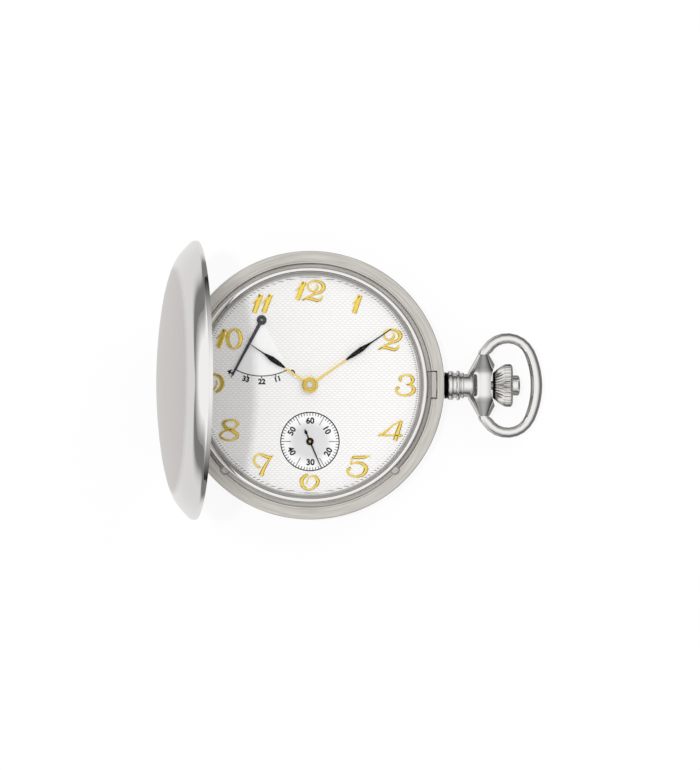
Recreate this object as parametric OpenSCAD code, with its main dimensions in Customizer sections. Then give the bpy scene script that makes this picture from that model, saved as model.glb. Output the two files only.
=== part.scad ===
// Full hunter pocket watch, hand wound, with small seconds and a power-reserve hand.
// Millimetres. The back rests on z = 0, +Z leaves the dial, +X points to the crown, +Y to 12 o'clock.

/* [Case] */
// Outer diameter of the case
case_d = 49; // [48:0.25:52]
// Height of the back cover
back_h = 3.2; // [3:0.1:4]
// Height of the middle band
band_h = 5; // [4.8:0.1:5.6]
// Height of the front cover from its rim to its apex
lid_h = 6.4; // [6.2:0.1:8]
// Sheet thickness of both covers
wall = 0.75; // [0.5:0.05:0.9]
// Diameter of the flat on the back that the watch rests on
rest_d = 28; // [20:1:30]
// Radius of the rounded edge of both covers
edge_round = 0.9; // [0.8:0.05:1.2]
// Width of the flat satin rim on top of the band
rim_w = 2; // [1.6:0.1:2.1]
// Gap between a closed cover and the band
seam = 0.05; // [0.02:0.01:0.1]

/* [Bezel and glass] */
// Outer diameter of the bezel
bezel_d = 43; // [42.4:0.1:43]
// Visible diameter of the glass
glass_d = 41; // [40.5:0.1:41]
// Thickness of the glass
glass_t = 0.8; // [0.6:0.05:1]
// Rise of the glass from its edge to its centre
glass_dome = 0.8; // [0.4:0.1:1.2]
// Height of the bezel's top edge above the band
bezel_rise = 1.55; // [1.3:0.05:1.7]

/* [Front cover and hinge] */
// Opening angle of the front cover as it stands in the photograph
lid_open = 80; // [0:1:80]
// Radius of the hinge knuckles
knuckle_r = 0.85; // [0.75:0.05:0.9]
// Length of the whole hinge
hinge_w = 12.6; // [10:0.2:14]
// Number of hinge knuckles
knuckles = 5; // [3:2:7]
// Radius of the hinge pin
pin_r = 0.35; // [0.3:0.05:0.4]

/* [Pendant, crown and bow] */
// Height of the stem above the resting plane
stem_z = 5.4; // [5.3:0.05:5.5]
// Distance from the case edge to the middle of the pendant head
head_out = 7.2; // [7:0.1:8]
// Largest radius of the pendant head
head_r = 3; // [2.8:0.1:3.2]
// Half of the pendant head's length between the ears of the bow
head_half = 5.6; // [5:0.1:6]
// Largest radius of the crown
crown_r = 3.88; // [3.4:0.02:4.2]
// Length of the crown
crown_len = 3.6; // [3.4:0.1:4.2]
// Number of ribs round the crown
crown_ribs = 28; // [18:1:32]
// Radius of the push-button in the crown
button_r = 1.84; // [1.5:0.02:2]
// Travel of the push-button
button_travel = 0.6; // [0.4:0.05:0.6]
// Diameter of the bow's wire
bow_wire = 1.9; // [1.6:0.1:2.2]
// Half of the bow's width across its widest place
bow_half = 8.65; // [8.4:0.05:9.4]
// Radius of the bow's tight side arcs
bow_corner = 4.4; // [4.2:0.1:4.8]
// Half of the bow's length along the stem
bow_reach = 5.3; // [5.2:0.1:6]

/* [Movement] */
// Diameter of the movement's main plate
plate_d = 36.6; // [36.4:0.1:36.8]
// Distance from the centre to the small seconds
seconds_drop = 10.3; // [10.2:0.05:10.4]
// Distance from the centre to the barrel
barrel_dist = 9; // [8.9:0.05:9.1]
// Radius of the balance wheel
balance_r = 4.6; // [4.2:0.1:4.6]

/* [Dial and hands] */
// Thickness of the dial
dial_t = 0.4; // [0.3:0.05:0.5]
// Radius of the small-seconds dial
seconds_dial_r = 5.44; // [5:0.02:5.6]
// Length of the hour hand
hour_len = 13; // [11:0.1:14]
// Length of the minute hand
minute_len = 17.95; // [16:0.05:18.5]
// Length of the seconds hand
seconds_len = 5.1; // [4.5:0.1:5.3]
// Length of the power-reserve hand
reserve_len = 11.9; // [11:0.1:12.2]
// Thickness of every hand
hand_t = 0.14; // [0.1:0.01:0.16]

/* [Hidden] */
$fn = 72;
eps = 0.01;
steel = [0.77, 0.77, 0.76];
satin = [0.86, 0.85, 0.82];
gilt = [0.85, 0.69, 0.38];
rhodium = [0.8, 0.81, 0.82];
ruby = [0.75, 0.1, 0.25];
blued = [0.13, 0.18, 0.42];
black = [0.06, 0.06, 0.07];

// Heights of the case
case_r = case_d / 2;
cover_r = case_r - 0.02;
band_z = back_h + seam;
rim_z = back_h + band_h;
cover_in = cover_r - wall;
crown_arc_r = 88;
crown_arc_end = 0.6536 * cover_r;
lid_edge_z = 0.28;
back_edge_drop = 0.31;
lid_lip_w = 0.88;
lid_lip_h = 0.45;

// Rings between the band and the glass
groove_out = case_r - 0.1 - rim_w - 0.2;
bezel_r = bezel_d / 2;
glass_r = glass_d / 2;
neck_out = bezel_r - 0.45;
neck_in = glass_r + 0.05;
neck_top = rim_z + 0.7;
bezel_top = rim_z + bezel_rise;
groove_z = rim_z - 2.4;
bezel_z = rim_z - 0.6;
glass_z = rim_z + 1.1;
gasket_w = 0.18;

// Hinge at 9 o'clock
hinge_x = -(case_r - 0.8);
hinge_z = rim_z + seam;
knuckle_l = hinge_w / knuckles;
knuckle_gap = 0.06;
hinge_clear = 0.1;

// Movement levels, from the back towards the dial
plate_r = plate_d / 2;
plate_top = rim_z - 0.5;
plate_z = plate_top - 1.9;
wall_in = plate_r - 2;
bridge_top = plate_z - 2.25;
bridge_t = 1;
bridge_z = bridge_top - bridge_t;
wind_z = bridge_z - 0.5;
wind_t = 0.4;
recess_z = plate_top - 1;
dial_top = plate_top + dial_t;
ring_ledge_z = plate_z - 0.2;

// Places of the movement's axes, seen from the dial
function polar(r, a) = [r * cos(a), r * sin(a)];
centre_at = [0, 0];
barrel_at = polar(barrel_dist, 50);
fourth_at = [0, -seconds_drop];
third_arm = 6.75;
fourth_arm = 5.1;
third_drop = (third_arm * third_arm - fourth_arm * fourth_arm + seconds_drop * seconds_drop)
             / (2 * seconds_drop);
third_at = [sqrt(third_arm * third_arm - third_drop * third_drop), -third_drop];
escape_arm = 4.4;
escape_dir = 170;
escape_at = fourth_at + polar(escape_arm, escape_dir);
lever_dir = 140;
pallet_arm = 2.9;
balance_arm = 6.8;
pallet_at = escape_at + polar(pallet_arm, lever_dir);
balance_at = escape_at + polar(balance_arm, lever_dir);
reserve_at = [-8.8, 11.84];
minute_arm = 3.6;
minute_dir = -20;
minute_at = polar(minute_arm, minute_dir);
wind_arm = barrel_dist;
crown_wheel_r = 3.6;
ratchet_r = wind_arm - crown_wheel_r;
// The crown wheel lies on the stem's line, where it meets the ratchet wheel
crown_wheel_x = barrel_at.x + sqrt(wind_arm * wind_arm - barrel_at.y * barrel_at.y);
crown_wheel_at = [crown_wheel_x, 0];

// Teeth
barrel_teeth = 80;
centre_pinion_teeth = 10;
centre_teeth = 80;
third_pinion_teeth = 10;
third_teeth = 75;
fourth_pinion_teeth = 10;
fourth_teeth = 80;
escape_pinion_teeth = 8;
escape_teeth = 15;
escape_r = 2.45;
crown_teeth = 36;
ratchet_teeth = 54;
pinion_teeth = 22;
cannon_teeth = 12;
minute_teeth = 36;
minute_pinion_teeth = 10;
hour_teeth = 40;
reserve_teeth = 40;
reserve_m = 0.1;
function pair_module(dist, a, b) = 2 * dist / (a + b);
barrel_m = pair_module(barrel_dist, barrel_teeth, centre_pinion_teeth);
centre_m = pair_module(third_arm, centre_teeth, third_pinion_teeth);
third_m = pair_module(fourth_arm, third_teeth, fourth_pinion_teeth);
fourth_m = pair_module(escape_arm, fourth_teeth, escape_pinion_teeth);
wind_m = pair_module(wind_arm, crown_teeth, ratchet_teeth);
motion_m = pair_module(minute_arm, cannon_teeth, minute_teeth);
hour_m = pair_module(minute_arm, minute_pinion_teeth, hour_teeth);

// The phase that puts a gap of gear 2 on a tooth of gear 1
function heading(a, b) = atan2(b.y - a.y, b.x - a.x);
function mesh_phase(dir, phase1, z1, z2) = dir + 180 + ((dir - phase1) * z1 + 180) / z2;
barrel_phase = 0;
centre_pinion_phase = mesh_phase(heading(barrel_at, centre_at), barrel_phase, barrel_teeth,
                                 centre_pinion_teeth);
third_pinion_phase = mesh_phase(heading(centre_at, third_at), 0, centre_teeth, third_pinion_teeth);
fourth_pinion_phase = mesh_phase(heading(third_at, fourth_at), 0, third_teeth,
                                 fourth_pinion_teeth);
escape_pinion_phase = mesh_phase(heading(fourth_at, escape_at), 0, fourth_teeth,
                                 escape_pinion_teeth);
ratchet_phase = mesh_phase(heading(crown_wheel_at, barrel_at), 0, crown_teeth, ratchet_teeth);
minute_phase = mesh_phase(minute_dir, 0, cannon_teeth, minute_teeth);
hour_phase = mesh_phase(minute_dir + 180, 0, minute_pinion_teeth, hour_teeth);
escape_phase = 6;

// Train levels
centre_wheel_z = bridge_top + 0.15;
barrel_z = bridge_top + 0.55;
barrel_top = plate_z + 0.4;
barrel_r = 7.6;
fourth_wheel_z = bridge_top + 0.85;
third_wheel_z = bridge_top + 1.55;
fork_z = plate_z - 0.4;
escape_wheel_z = fork_z + 0.02;
balance_z = bridge_top + 0.65;
hairspring_z = bridge_top + 0.25;
arbor_r = 0.25;
pivot_r = 0.1;
jewel_r = 0.5;
jewel_t = 0.4;
jewel_fit = 0.02;
centre_arbor_r = 0.4;
seconds_arbor_r = 0.14;

// Dial side levels
reserve_z = dial_top + 0.2;
seconds_z = dial_top + 0.2;
hour_z = dial_top + 0.45;
minute_z = dial_top + 0.85;
cannon_r = 0.75;
hour_pipe_r = 1.1;

// Stem, from the movement to the crown
stem_r = 0.8;
stem_pilot_r = 0.4;
stem_square = 1.1;
stem_fit = 0.06;
clutch_x = crown_wheel_x + 1;
clutch_len = 1.4;
pinion_x = crown_wheel_x + 2.5;
pinion_len = 1.6;
lever_groove_x = pinion_x + pinion_len + 0.4;
lever_groove_w = 0.6;
rod_r = 0.38;
collar_x = case_r - 1.6;
cross_pin_x = collar_x + 0.85;
tube_x = case_r + 0.5;
head_x = case_r + head_out;
crown_x = head_x + 1.7;
crown_end = crown_x + crown_len;
button_seat_x = crown_end - 1.3;
pendant_bore = 1.5;

module ring(r_in, r_out, z0, z1) {
  translate([0, 0, z0]) linear_extrude(z1 - z0) difference() {
    circle(r_out);
    circle(r_in);
  }
}

module disc(r, z0, z1) {
  translate([0, 0, z0]) cylinder(r = r, h = z1 - z0);
}

module at(p) {
  translate([p.x, p.y, 0]) children();
}

// A round bar along X at the stem's height
module stem_bar(r, x0, x1) {
  translate([x0, 0, stem_z]) rotate([0, 90, 0]) cylinder(r = r, h = x1 - x0);
}

module stem_ring(r_in, r_out, x0, x1) {
  translate([x0, 0, stem_z]) rotate([0, 90, 0]) linear_extrude(x1 - x0) difference() {
    circle(r_out);
    circle(r_in);
  }
}

// A profile of [x, radius] points turned about the stem's line
module stem_turned(points) {
  translate([0, 0, stem_z]) rotate([0, 90, 0]) rotate_extrude()
    polygon([for (p = points) [p.y, p.x]]);
}

// Points along an arc, without its first point where it carries on from another line
function arc(cx, cy, r, a0, a1, n, first = 0) =
  [for (i = [first:n])
    [cx + r * cos(a0 + (a1 - a0) * i / n), cy + r * sin(a0 + (a1 - a0) * i / n)]];

function reversed(points) = [for (i = [len(points) - 1:-1:0]) points[i]];

// A closed skin over rings that each have the same number of points
module skin(rings) {
  n = len(rings[0]);
  last = len(rings) - 1;
  faces = concat(
    [for (j = [1:n - 2]) [0, j, j + 1]],
    [for (i = [0:last - 1]) for (j = [0:n - 1]) let (k = (j + 1) % n)
      for (f = [[i * n + j, (i + 1) * n + j, (i + 1) * n + k],
                [i * n + j, (i + 1) * n + k, i * n + k]]) f],
    [for (j = [1:n - 2]) [last * n, last * n + j + 1, last * n + j]]);
  polyhedron([for (r = rings) for (p = r) p], faces);
}

// Outline of a spur gear: straight-flanked teeth, with the tooth's shares of its pitch
function gear_outline(z, m, phase, add, ded, tip_share, root_share) = [
  for (i = [0:z - 1])
    for (c = [[-root_share, -ded], [-tip_share, add], [tip_share, add], [root_share, -ded]])
      polar(z * m / 2 + c.y * m, phase + 360 / z * (i + c.x / 2))
];

module wheel_teeth(z, m, phase) {
  polygon(gear_outline(z, m, phase, 1, 1.5, 0.14, 0.56));
}

module pinion_teeth_2d(z, m, phase) {
  polygon(gear_outline(z, m, phase, 0.8, 1.35, 0.18, 0.4));
}

// A train wheel: toothed rim, arms and a hub
module spoked_wheel(z, m, phase, rim_w, hub_r, arms, arm_w, z0, z1) {
  rim_in = z * m / 2 - 1.5 * m - rim_w;
  translate([0, 0, z0]) linear_extrude(z1 - z0) {
    difference() {
      wheel_teeth(z, m, phase);
      circle(rim_in);
    }
    for (i = [0:arms - 1]) rotate(360 / arms * i + phase)
      translate([0, -arm_w / 2]) square([rim_in + rim_w / 2, arm_w]);
    circle(hub_r);
  }
}

// An arbor with a pivot at each end
module arbor(r, z0, z1, pivot_len) {
  disc(r, z0, z1);
  disc(pivot_r, z0 - pivot_len, z1 + pivot_len);
}

// Covers
function cover_slope() = asin(crown_arc_end / crown_arc_r);
function flank_out() = cover_r - edge_round - crown_arc_end;
function flank_down() = lid_edge_z - lid_h + crown_arc_r * (1 - cos(cover_slope()));
// The flank's arc runs on from the crown's arc and ends on the edge's small round
function flank_arc_r() =
  (edge_round * edge_round - flank_out() * flank_out() - flank_down() * flank_down())
  / (2 * (flank_out() * sin(cover_slope()) + flank_down() * cos(cover_slope()) + edge_round));
function flank_cx() = (crown_arc_r - flank_arc_r()) * sin(cover_slope());
function flank_cz() = lid_h - crown_arc_r + (crown_arc_r - flank_arc_r()) * cos(cover_slope());
function flank_end() = asin((cover_r - edge_round - flank_cx()) / (flank_arc_r() - edge_round));

// Outline of the front cover from the rim to the apex, drawn inwards by t
function lid_line(t) = concat(
  arc(cover_r - edge_round, flank_cz() + (flank_arc_r() - edge_round) * cos(flank_end()),
      edge_round - t, 0, 90 - flank_end(), 6),
  arc(flank_cx(), flank_cz(), flank_arc_r() - t, 90 - flank_end(), 90 - cover_slope(), 20, 1),
  arc(0, lid_h - crown_arc_r, crown_arc_r - t, 90 - cover_slope(), 90, 12, 1));

function rest_r() = rest_d / 2;
function back_flank_w() = cover_r - edge_round - rest_r();
function back_end() = 2 * atan((back_h - back_edge_drop - edge_round) / back_flank_w());
function back_flank_r() = edge_round + back_flank_w() / sin(back_end());

// Outline of the back cover from the resting flat to its rim, drawn inwards by t
function back_line(t) = concat(
  [[0, t]],
  arc(rest_r(), back_flank_r(), back_flank_r() - t, -90, -90 + back_end(), 16),
  arc(cover_r - edge_round, back_flank_r() - (back_flank_r() - edge_round) * cos(back_end()),
      edge_round - t, -90 + back_end(), 0, 6, 1));

module hinge_bar(r, y0, y1) {
  translate([hinge_x, y1, hinge_z]) rotate([90, 0, 0]) cylinder(r = r, h = y1 - y0);
}

// Knuckles with an even or odd place in the row, and the web that joins them to their leaf
module hinge_knuckles(first, web_x, web_z0, web_z1) {
  for (i = [first:2:knuckles - 1]) {
    y0 = -hinge_w / 2 + i * knuckle_l + knuckle_gap / 2;
    y1 = y0 + knuckle_l - knuckle_gap;
    hinge_bar(knuckle_r, y0, y1);
    translate([hinge_x - 0.2, y0, hinge_z + web_z0])
      cube([web_x + 0.2, y1 - y0, web_z1 - web_z0]);
  }
}

module closed_lid() {
  inner = [for (p = lid_line(wall)) if (p.y > lid_lip_h + eps) p];
  difference() {
    union() {
      difference() {
        translate([0, 0, hinge_z]) rotate_extrude()
          polygon(concat([[cover_r, 0]], lid_line(0), reversed(inner),
                         [[inner[0].x, lid_lip_h], [cover_in - lid_lip_w, lid_lip_h],
                          [cover_in - lid_lip_w, 0]]));
        hinge_bar(knuckle_r + 0.2, -hinge_w / 2 - knuckle_gap, hinge_w / 2 + knuckle_gap);
      }
      hinge_knuckles(1, 1.5, 0, 0.6);
    }
    hinge_bar(pin_r + 0.03, -hinge_w, hinge_w);
  }
}

module front_cover() {
  color(satin) translate([hinge_x, 0, hinge_z]) rotate([0, -lid_open, 0])
    translate([-hinge_x, 0, -hinge_z]) closed_lid();
}

module back_cover() {
  inner = back_line(wall);
  color(satin) rotate_extrude() polygon(concat(
    back_line(0), [[cover_r, back_h], [back_lip_r, back_h], [back_lip_r, back_h - 0.9]],
    reversed([for (p = inner) if (p.x < back_lip_r - 0.1) p])));
}

// The back cover snaps over the band's lower neck
back_lip_r = groove_out + 0.15;

module case_band() {
  color(satin) difference() {
    union() {
      difference() {
        rotate_extrude() polygon([
          [bezel_r, band_z - 0.9], [groove_out + 0.1, band_z - 0.9], [groove_out + 0.1, band_z],
          [case_r - 0.12, band_z], [case_r, band_z + 0.12], [case_r, rim_z - 0.12],
          [case_r - 0.1, rim_z], [case_r - rim_w + 0.12, rim_z],
          [case_r - rim_w + 0.08, rim_z - 0.1], [groove_out + 0.1, rim_z - 0.1],
          [groove_out, rim_z - 0.2], [groove_out, groove_z], [neck_out, groove_z],
          [neck_out, neck_top], [neck_in, neck_top], [neck_in, ring_ledge_z],
          [bezel_r, ring_ledge_z]]);
        hinge_bar(knuckle_r + hinge_clear, -hinge_w / 2 - knuckle_gap,
                  hinge_w / 2 + knuckle_gap);
        spring_pockets();
        catch_window();
      }
      hinge_knuckles(0, 1.2, -1.4, -0.1);
    }
    hinge_bar(pin_r + eps, -hinge_w, hinge_w);
    stem_bar(neck_r, case_r - 1.1, case_r + 1);
    stem_bar(pendant_bore, neck_in - 1, case_r);
    for (a = spring_eyes) rotate(a) translate([spring_r, 0, groove_z - 1.5])
      cylinder(r = spring_screw_r, h = 3);
  }
}

// The catch and lift springs lie in the groove round the bezel
spring_h = 1.4;
spring_in = bezel_r + 0.1;
spring_t = 0.5;
spring_r = spring_in + spring_t / 2;
spring_eye_r = 0.8;
spring_screw_r = 0.35;
spring_eyes = [-45, 180 + 45];
neck_r = 1.8;
neck_collar_r = 2.45;
hook_x0 = case_r - 2.3;
hook_r = case_r - 1.45;
hook_t = 0.22;
hook_gap = 0.08;
hook_half = 2.3;
hook_stem = 0.45;
stem_slot_r = stem_r + 0.3;

// Round pockets that widen the groove at the springs' screwed eyes
module spring_pockets() {
  for (a = spring_eyes) rotate(a) translate([spring_r, 0, groove_z - 0.05])
    cylinder(r = spring_eye_r + 0.15, h = 3);
}

// The window that the catch hook stands in and flexes through
module catch_window() {
  translate([neck_out, -hook_half - 0.3, stem_z - 1.6])
    cube([hook_r + 0.15 - neck_out, 2 * hook_half + 0.6, rim_z - stem_z + 3]);
}

// A flat strip bent to the groove's curve, with a screwed eye at one end
module spring_strip(a0, a1, eye) {
  difference() {
    union() {
      rotate([0, 0, a0]) translate([0, 0, groove_z + 0.1]) rotate_extrude(angle = a1 - a0)
        translate([spring_in, 0]) square([spring_t, spring_h]);
      rotate(eye) translate([spring_r, 0, groove_z + 0.05])
        cylinder(r = spring_eye_r, h = 0.6);
    }
    rotate(eye) translate([spring_r, 0, groove_z]) cylinder(r = spring_screw_r + 0.03, h = 0.65);
    rotate(eye) translate([spring_r, 0, groove_z + 0.65]) cylinder(r = 0.7, h = 3);
  }
}

module lock_spring() {
  tail_z = stem_z - 1.4;
  color(steel) difference() {
    union() {
      spring_strip(spring_eyes[0], 6, spring_eyes[0]);
      translate([hook_x0, -hook_half, tail_z])
        cube([hook_stem, 2 * hook_half, hook_z - tail_z + eps]);
      intersection() {
        disc(hook_r, hook_z, hook_z + hook_t);
        translate([hook_x0, -hook_half, hook_z]) cube([2, 2 * hook_half, 1]);
      }
      translate([spring_in, -hook_half, groove_z + 0.1])
        cube([hook_x0 + 0.3 - spring_in, 2 * hook_half, spring_h]);
    }
    stem_bar(stem_slot_r, 0, case_r);
    translate([0, -stem_slot_r, 0]) cube([case_r, 2 * stem_slot_r, stem_z]);
  }
}
hook_z = hinge_z + lid_lip_h + hook_gap;

module lift_spring() {
  color(steel) {
    spring_strip(180 - 6, spring_eyes[1], spring_eyes[1]);
    rotate(180) translate([spring_in + 0.05, -1.2, groove_z + 0.2])
      cube([spring_t - 0.1, 2.4, rim_z - 0.15 - groove_z - 0.2]);
  }
}

module spring_screws() {
  color(steel) for (a = spring_eyes) rotate(a) translate([spring_r, 0, groove_z]) difference() {
    union() {
      translate([0, 0, -1.2]) cylinder(r = spring_screw_r, h = 1.9);
      translate([0, 0, 0.66]) cylinder(r = 0.62, h = 0.4);
    }
    translate([-1, -0.09, 0.88]) cube([2, 0.18, 1]);
  }
}

module hinge_pin() {
  color(steel) hinge_bar(pin_r, -hinge_w / 2, hinge_w / 2);
}

module bezel() {
  color(steel) rotate_extrude() polygon(concat(
    [[neck_out + 0.02, bezel_z], [bezel_r, bezel_z], [bezel_r, bezel_top - 0.4]],
    arc(bezel_r - 0.4, bezel_top - 0.4, 0.4, 0, 90, 6),
    [[glass_r + gasket_w + 0.1, bezel_top], [glass_r + gasket_w, bezel_top - 0.1],
     [glass_r + gasket_w, glass_z - 0.1], [glass_r - 0.3, glass_z - 0.1],
     [glass_r - 0.3, neck_top + 0.02], [neck_out + 0.02, neck_top + 0.02]]));
}

module crystal_gasket() {
  color(black) rotate_extrude() polygon([
    [glass_r, bezel_top - 0.1], [glass_r + gasket_w, bezel_top - 0.1],
    [glass_r + gasket_w, glass_z - 0.1], [glass_r - 0.3, glass_z - 0.1],
    [glass_r - 0.3, glass_z], [glass_r, glass_z]]);
}

// The glass is a shallow dome of even thickness
module crystal() {
  dome_r = (glass_r * glass_r + glass_dome * glass_dome) / (2 * glass_dome);
  half = asin(glass_r / dome_r);
  color([0.85, 0.92, 0.95, 0.3]) rotate_extrude() polygon(concat(
    arc(0, glass_z + glass_dome - dome_r, dome_r, 90 - half, 90, 10),
    [for (p = arc(0, glass_z + glass_dome - dome_r, dome_r, 90, 90 - half, 10))
      [p.x, p.y + glass_t]]));
}

module rehaut() {
  color(satin) rotate_extrude() polygon([
    [neck_in - 0.62, dial_top + 0.02], [neck_in - 0.03, dial_top + 0.02],
    [neck_in - 0.03, neck_top - 0.02], [neck_in - 0.3, neck_top - 0.02]]);
}

// A rounded bead between two places along the stem
function bead(x0, x1, r_low, r_high, n) =
  [for (i = [0:n]) [x0 + (x1 - x0) * (1 - cos(180 * i / n)) / 2,
                    r_low + (r_high - r_low) * sin(180 * i / n)]];

module pendant() {
  color(steel) difference() {
    union() {
      stem_turned(concat(
        [[case_r - 1.05, 0], [case_r - 1.05, neck_r], [case_r + 0.02, neck_r],
         [case_r + 0.02, neck_collar_r], [case_r + 0.45, neck_collar_r - 0.05]],
        bead(case_r + 0.6, case_r + 1.75, 2.3, 2.69, 8),
        bead(case_r + 2.15, case_r + 2.9, 2.3, 2.73, 8),
        bead(case_r + 3.05, case_r + 3.65, 2.1, 2.36, 8),
        [[case_r + 4, 2.11], [head_x, 2.11], [head_x, 0]]));
      pendant_head();
    }
    stem_bar(pendant_bore, case_r - 2, head_x + head_r);
    translate([head_x + 1.3 + dish_r, 0, stem_z - head_r - 1])
      cylinder(r = dish_r, h = 2 * head_r + 2);
    translate([head_x, head_half - ear_depth, stem_z]) rotate([-90, 0, 0])
      cylinder(r = bow_pin_r + 0.05, h = ear_depth + 1);
    translate([head_x, -head_half + ear_depth, stem_z]) rotate([90, 0, 0])
      cylinder(r = bow_pin_r + 0.05, h = ear_depth + 1);
  }
}
dish_r = 9.75;
bow_pin_r = 0.5;
ear_depth = 1.3;
ear_r = 1.04;
head_mid = 2.3;

// The spindle that carries the bow: full in the middle, drawn in to its two ears
module pendant_head() {
  half = [[ear_r, head_half], [head_r - 0.22, head_mid + 0.2], [head_r - 0.08, head_mid - 0.15],
          [head_r, head_mid - 0.6]];
  translate([head_x, 0, stem_z]) rotate([-90, 0, 0]) rotate_extrude() polygon(concat(
    [[0, head_half]], half, reversed([for (p = half) [p.x, -p.y]]), [[0, -head_half]]));
}

module pendant_tube() {
  color(gilt) stem_ring(stem_r + stem_fit, pendant_bore, tube_x, head_x + 1.1);
}

// The bow: two tight arcs and one wide arc of round wire, with a pin at each end
bow_x = head_x + bow_corner;
bow_side = bow_half - bow_corner;
bow_k = (bow_side * bow_side - (bow_reach - bow_corner) * (bow_reach - bow_corner))
        / (2 * (bow_reach - bow_corner));
bow_wide = bow_reach + bow_k;
bow_turn = atan2(bow_side, bow_k);
bow_end = 148;
bow_slim = 0.04;
bow_thick = 0.12;

// Points, headings and wire radii from the bow's far end round to an ear
bow_half_line = concat(
  [for (i = [0:5]) let (a = bow_turn * i / 5)
    [bow_x - bow_k + bow_wide * cos(a), bow_wide * sin(a), a,
     bow_wire / 2 + bow_thick - (bow_thick + bow_slim) * i / 8]],
  [for (i = [1:8]) let (a = bow_turn + (bow_end - bow_turn) * i / 8)
    [bow_x + bow_corner * cos(a), bow_side + bow_corner * sin(a), a,
     bow_wire / 2 - bow_slim + (ear_r - bow_wire / 2) * i * i / 64]],
  [[head_x + 0.13, head_half + 0.42, 165, ear_r - 0.02],
   [head_x, head_half + 0.06, 180, ear_r]]);
bow_line = concat(
  [for (i = [len(bow_half_line) - 1:-1:1]) let (p = bow_half_line[i]) [p.x, -p.y, -p.z, p[3]]],
  bow_half_line);

module bow() {
  sides = 18;
  rings = [for (p = bow_line) [for (j = [0:sides - 1]) let (b = 360 * j / sides, r = p[3])
    [p.x + r * cos(b) * cos(p.z), p.y + r * cos(b) * sin(p.z), stem_z - r * sin(b)]]];
  color(steel) {
    skin(rings);
    for (s = [0, 1]) mirror([0, s, 0]) {
      translate([head_x, head_half - ear_depth + 0.1, stem_z]) rotate([-90, 0, 0])
        cylinder(r = bow_pin_r, h = ear_depth + 0.3);
    }
  }
}

// The onion crown: rounded ribs that swell from a narrow base to a full shoulder
module crown() {
  base_r = 2.4;
  swell = 2.2;
  bulge = 0.12;
  rib_depth = 0.09;
  per_rib = 4;
  n = crown_ribs * per_rib;
  shape = concat(
    [[0, base_r - 0.15], [0.12, base_r]],
    [for (i = [1:5]) [0.12 + (swell - 0.12) * i / 5,
                      base_r + (crown_r - base_r) * i / 5 + bulge * sin(36 * i)]],
    [[crown_len - 0.4, crown_r + 0.05], [crown_len - 0.14, crown_r - 0.15],
     [crown_len, crown_r - 0.45]]);
  rings = [for (p = shape) [for (j = [0:n - 1])
    let (a = 360 * j / n, dip = 1 - sin(180 * (j % per_rib) / per_rib),
         r = p.y * (1 - rib_depth * dip))
      [crown_x + p.x, r * cos(a), r * sin(a)]]];
  color(steel) difference() {
    translate([0, 0, stem_z]) skin(rings);
    stem_bar(stem_r, crown_x - 1, button_seat_x + 1);
    stem_bar(button_r + 0.04, button_seat_x, crown_end + 1);
  }
}

module crown_button() {
  face = crown_end + 1.1;
  color(steel) {
    stem_turned(concat(
      [[button_seat_x + button_travel + 0.05, 0], [button_seat_x + button_travel + 0.05, button_r],
       [face - 0.12, button_r], [face, button_r - 0.12]],
      [for (i = [1:5]) [face + 0.3 * sin(18 * i), (button_r - 0.12) * cos(18 * i)]]));
    stem_bar(rod_r, cross_pin_x - 0.4, button_seat_x + 2);
    translate([cross_pin_x, -1.3, stem_z]) rotate([-90, 0, 0]) cylinder(r = 0.22, h = 2.6);
  }
}

// A helical spring between the crown's seat and the button
module button_spring() {
  turns = 2.5;
  steps = 12;
  sides = 6;
  coil_r = 1.15;
  wire_r = 0.1;
  gap = button_travel - 2 * wire_r;
  n = turns * steps;
  color(steel) translate([0, 0, stem_z]) skin([for (i = [0:n]) [for (j = [0:sides - 1])
    let (a = 360 * i / steps, b = 360 * j / sides, r = coil_r + wire_r * cos(b))
      [button_seat_x + 0.12 + gap * i / n - wire_r * sin(b), r * cos(a), r * sin(a)]]]);
}

module push_collar() {
  color(gilt) stem_ring(stem_r + stem_fit, pendant_bore - 0.08, collar_x, collar_x + 0.55);
}

module winding_stem() {
  color(steel) difference() {
    union() {
      stem_bar(stem_pilot_r, clutch_x - 2, clutch_x);
      intersection() {
        translate([clutch_x - 0.3, -stem_square / 2, stem_z - stem_square / 2])
          cube([clutch_len + 0.4, stem_square, stem_square]);
        stem_bar(stem_r - 0.08, clutch_x - 1, pinion_x);
      }
      stem_bar(stem_r - 0.08, pinion_x - 0.05, lever_groove_x);
      stem_bar(0.45, lever_groove_x - eps, lever_groove_x + lever_groove_w + eps);
      stem_bar(stem_r - 0.08, lever_groove_x + lever_groove_w, plate_r);
      stem_bar(stem_r, plate_r, button_seat_x);
    }
    stem_bar(rod_r + 0.04, collar_x - 0.4, crown_end);
    translate([collar_x - 0.1, -2, stem_z - 0.26]) cube([1.25, 4, 0.52]);
  }
}

module casing_ring() {
  color(gilt) difference() {
    union() {
      ring(plate_r + 0.05, neck_in - 0.02, ring_ledge_z, plate_top - 0.02);
      ring(plate_r + 0.05, bezel_r - 0.04, bridge_top + 0.02, ring_ledge_z);
    }
    stem_bar(1.1, plate_r - 1, case_r);
    translate([plate_r - 1, -1.1, 0]) cube([5, 2.2, stem_z]);
    for (a = casing_angles) rotate(a) translate([plate_r + 1.1, 0, bridge_top - 1])
      cylinder(r = 0.45, h = 3.5);
  }
}
casing_angles = [70, 190, 310];

module casing_screws() {
  color(steel) for (a = casing_angles) rotate(a) translate([plate_r + 1.1, 0, 0]) difference() {
    union() {
      disc(0.42, bridge_top - 0.1, bridge_top + 2);
      disc(1.4, bridge_top - 0.4, bridge_top - 0.02);
    }
    translate([-2, -0.15, bridge_top - 1]) cube([4, 0.3, 0.75]);
  }
}

// Movement plates
module jewel_seat(p, z0, z1) {
  at(p) disc(jewel_r, z0, z1);
}

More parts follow.
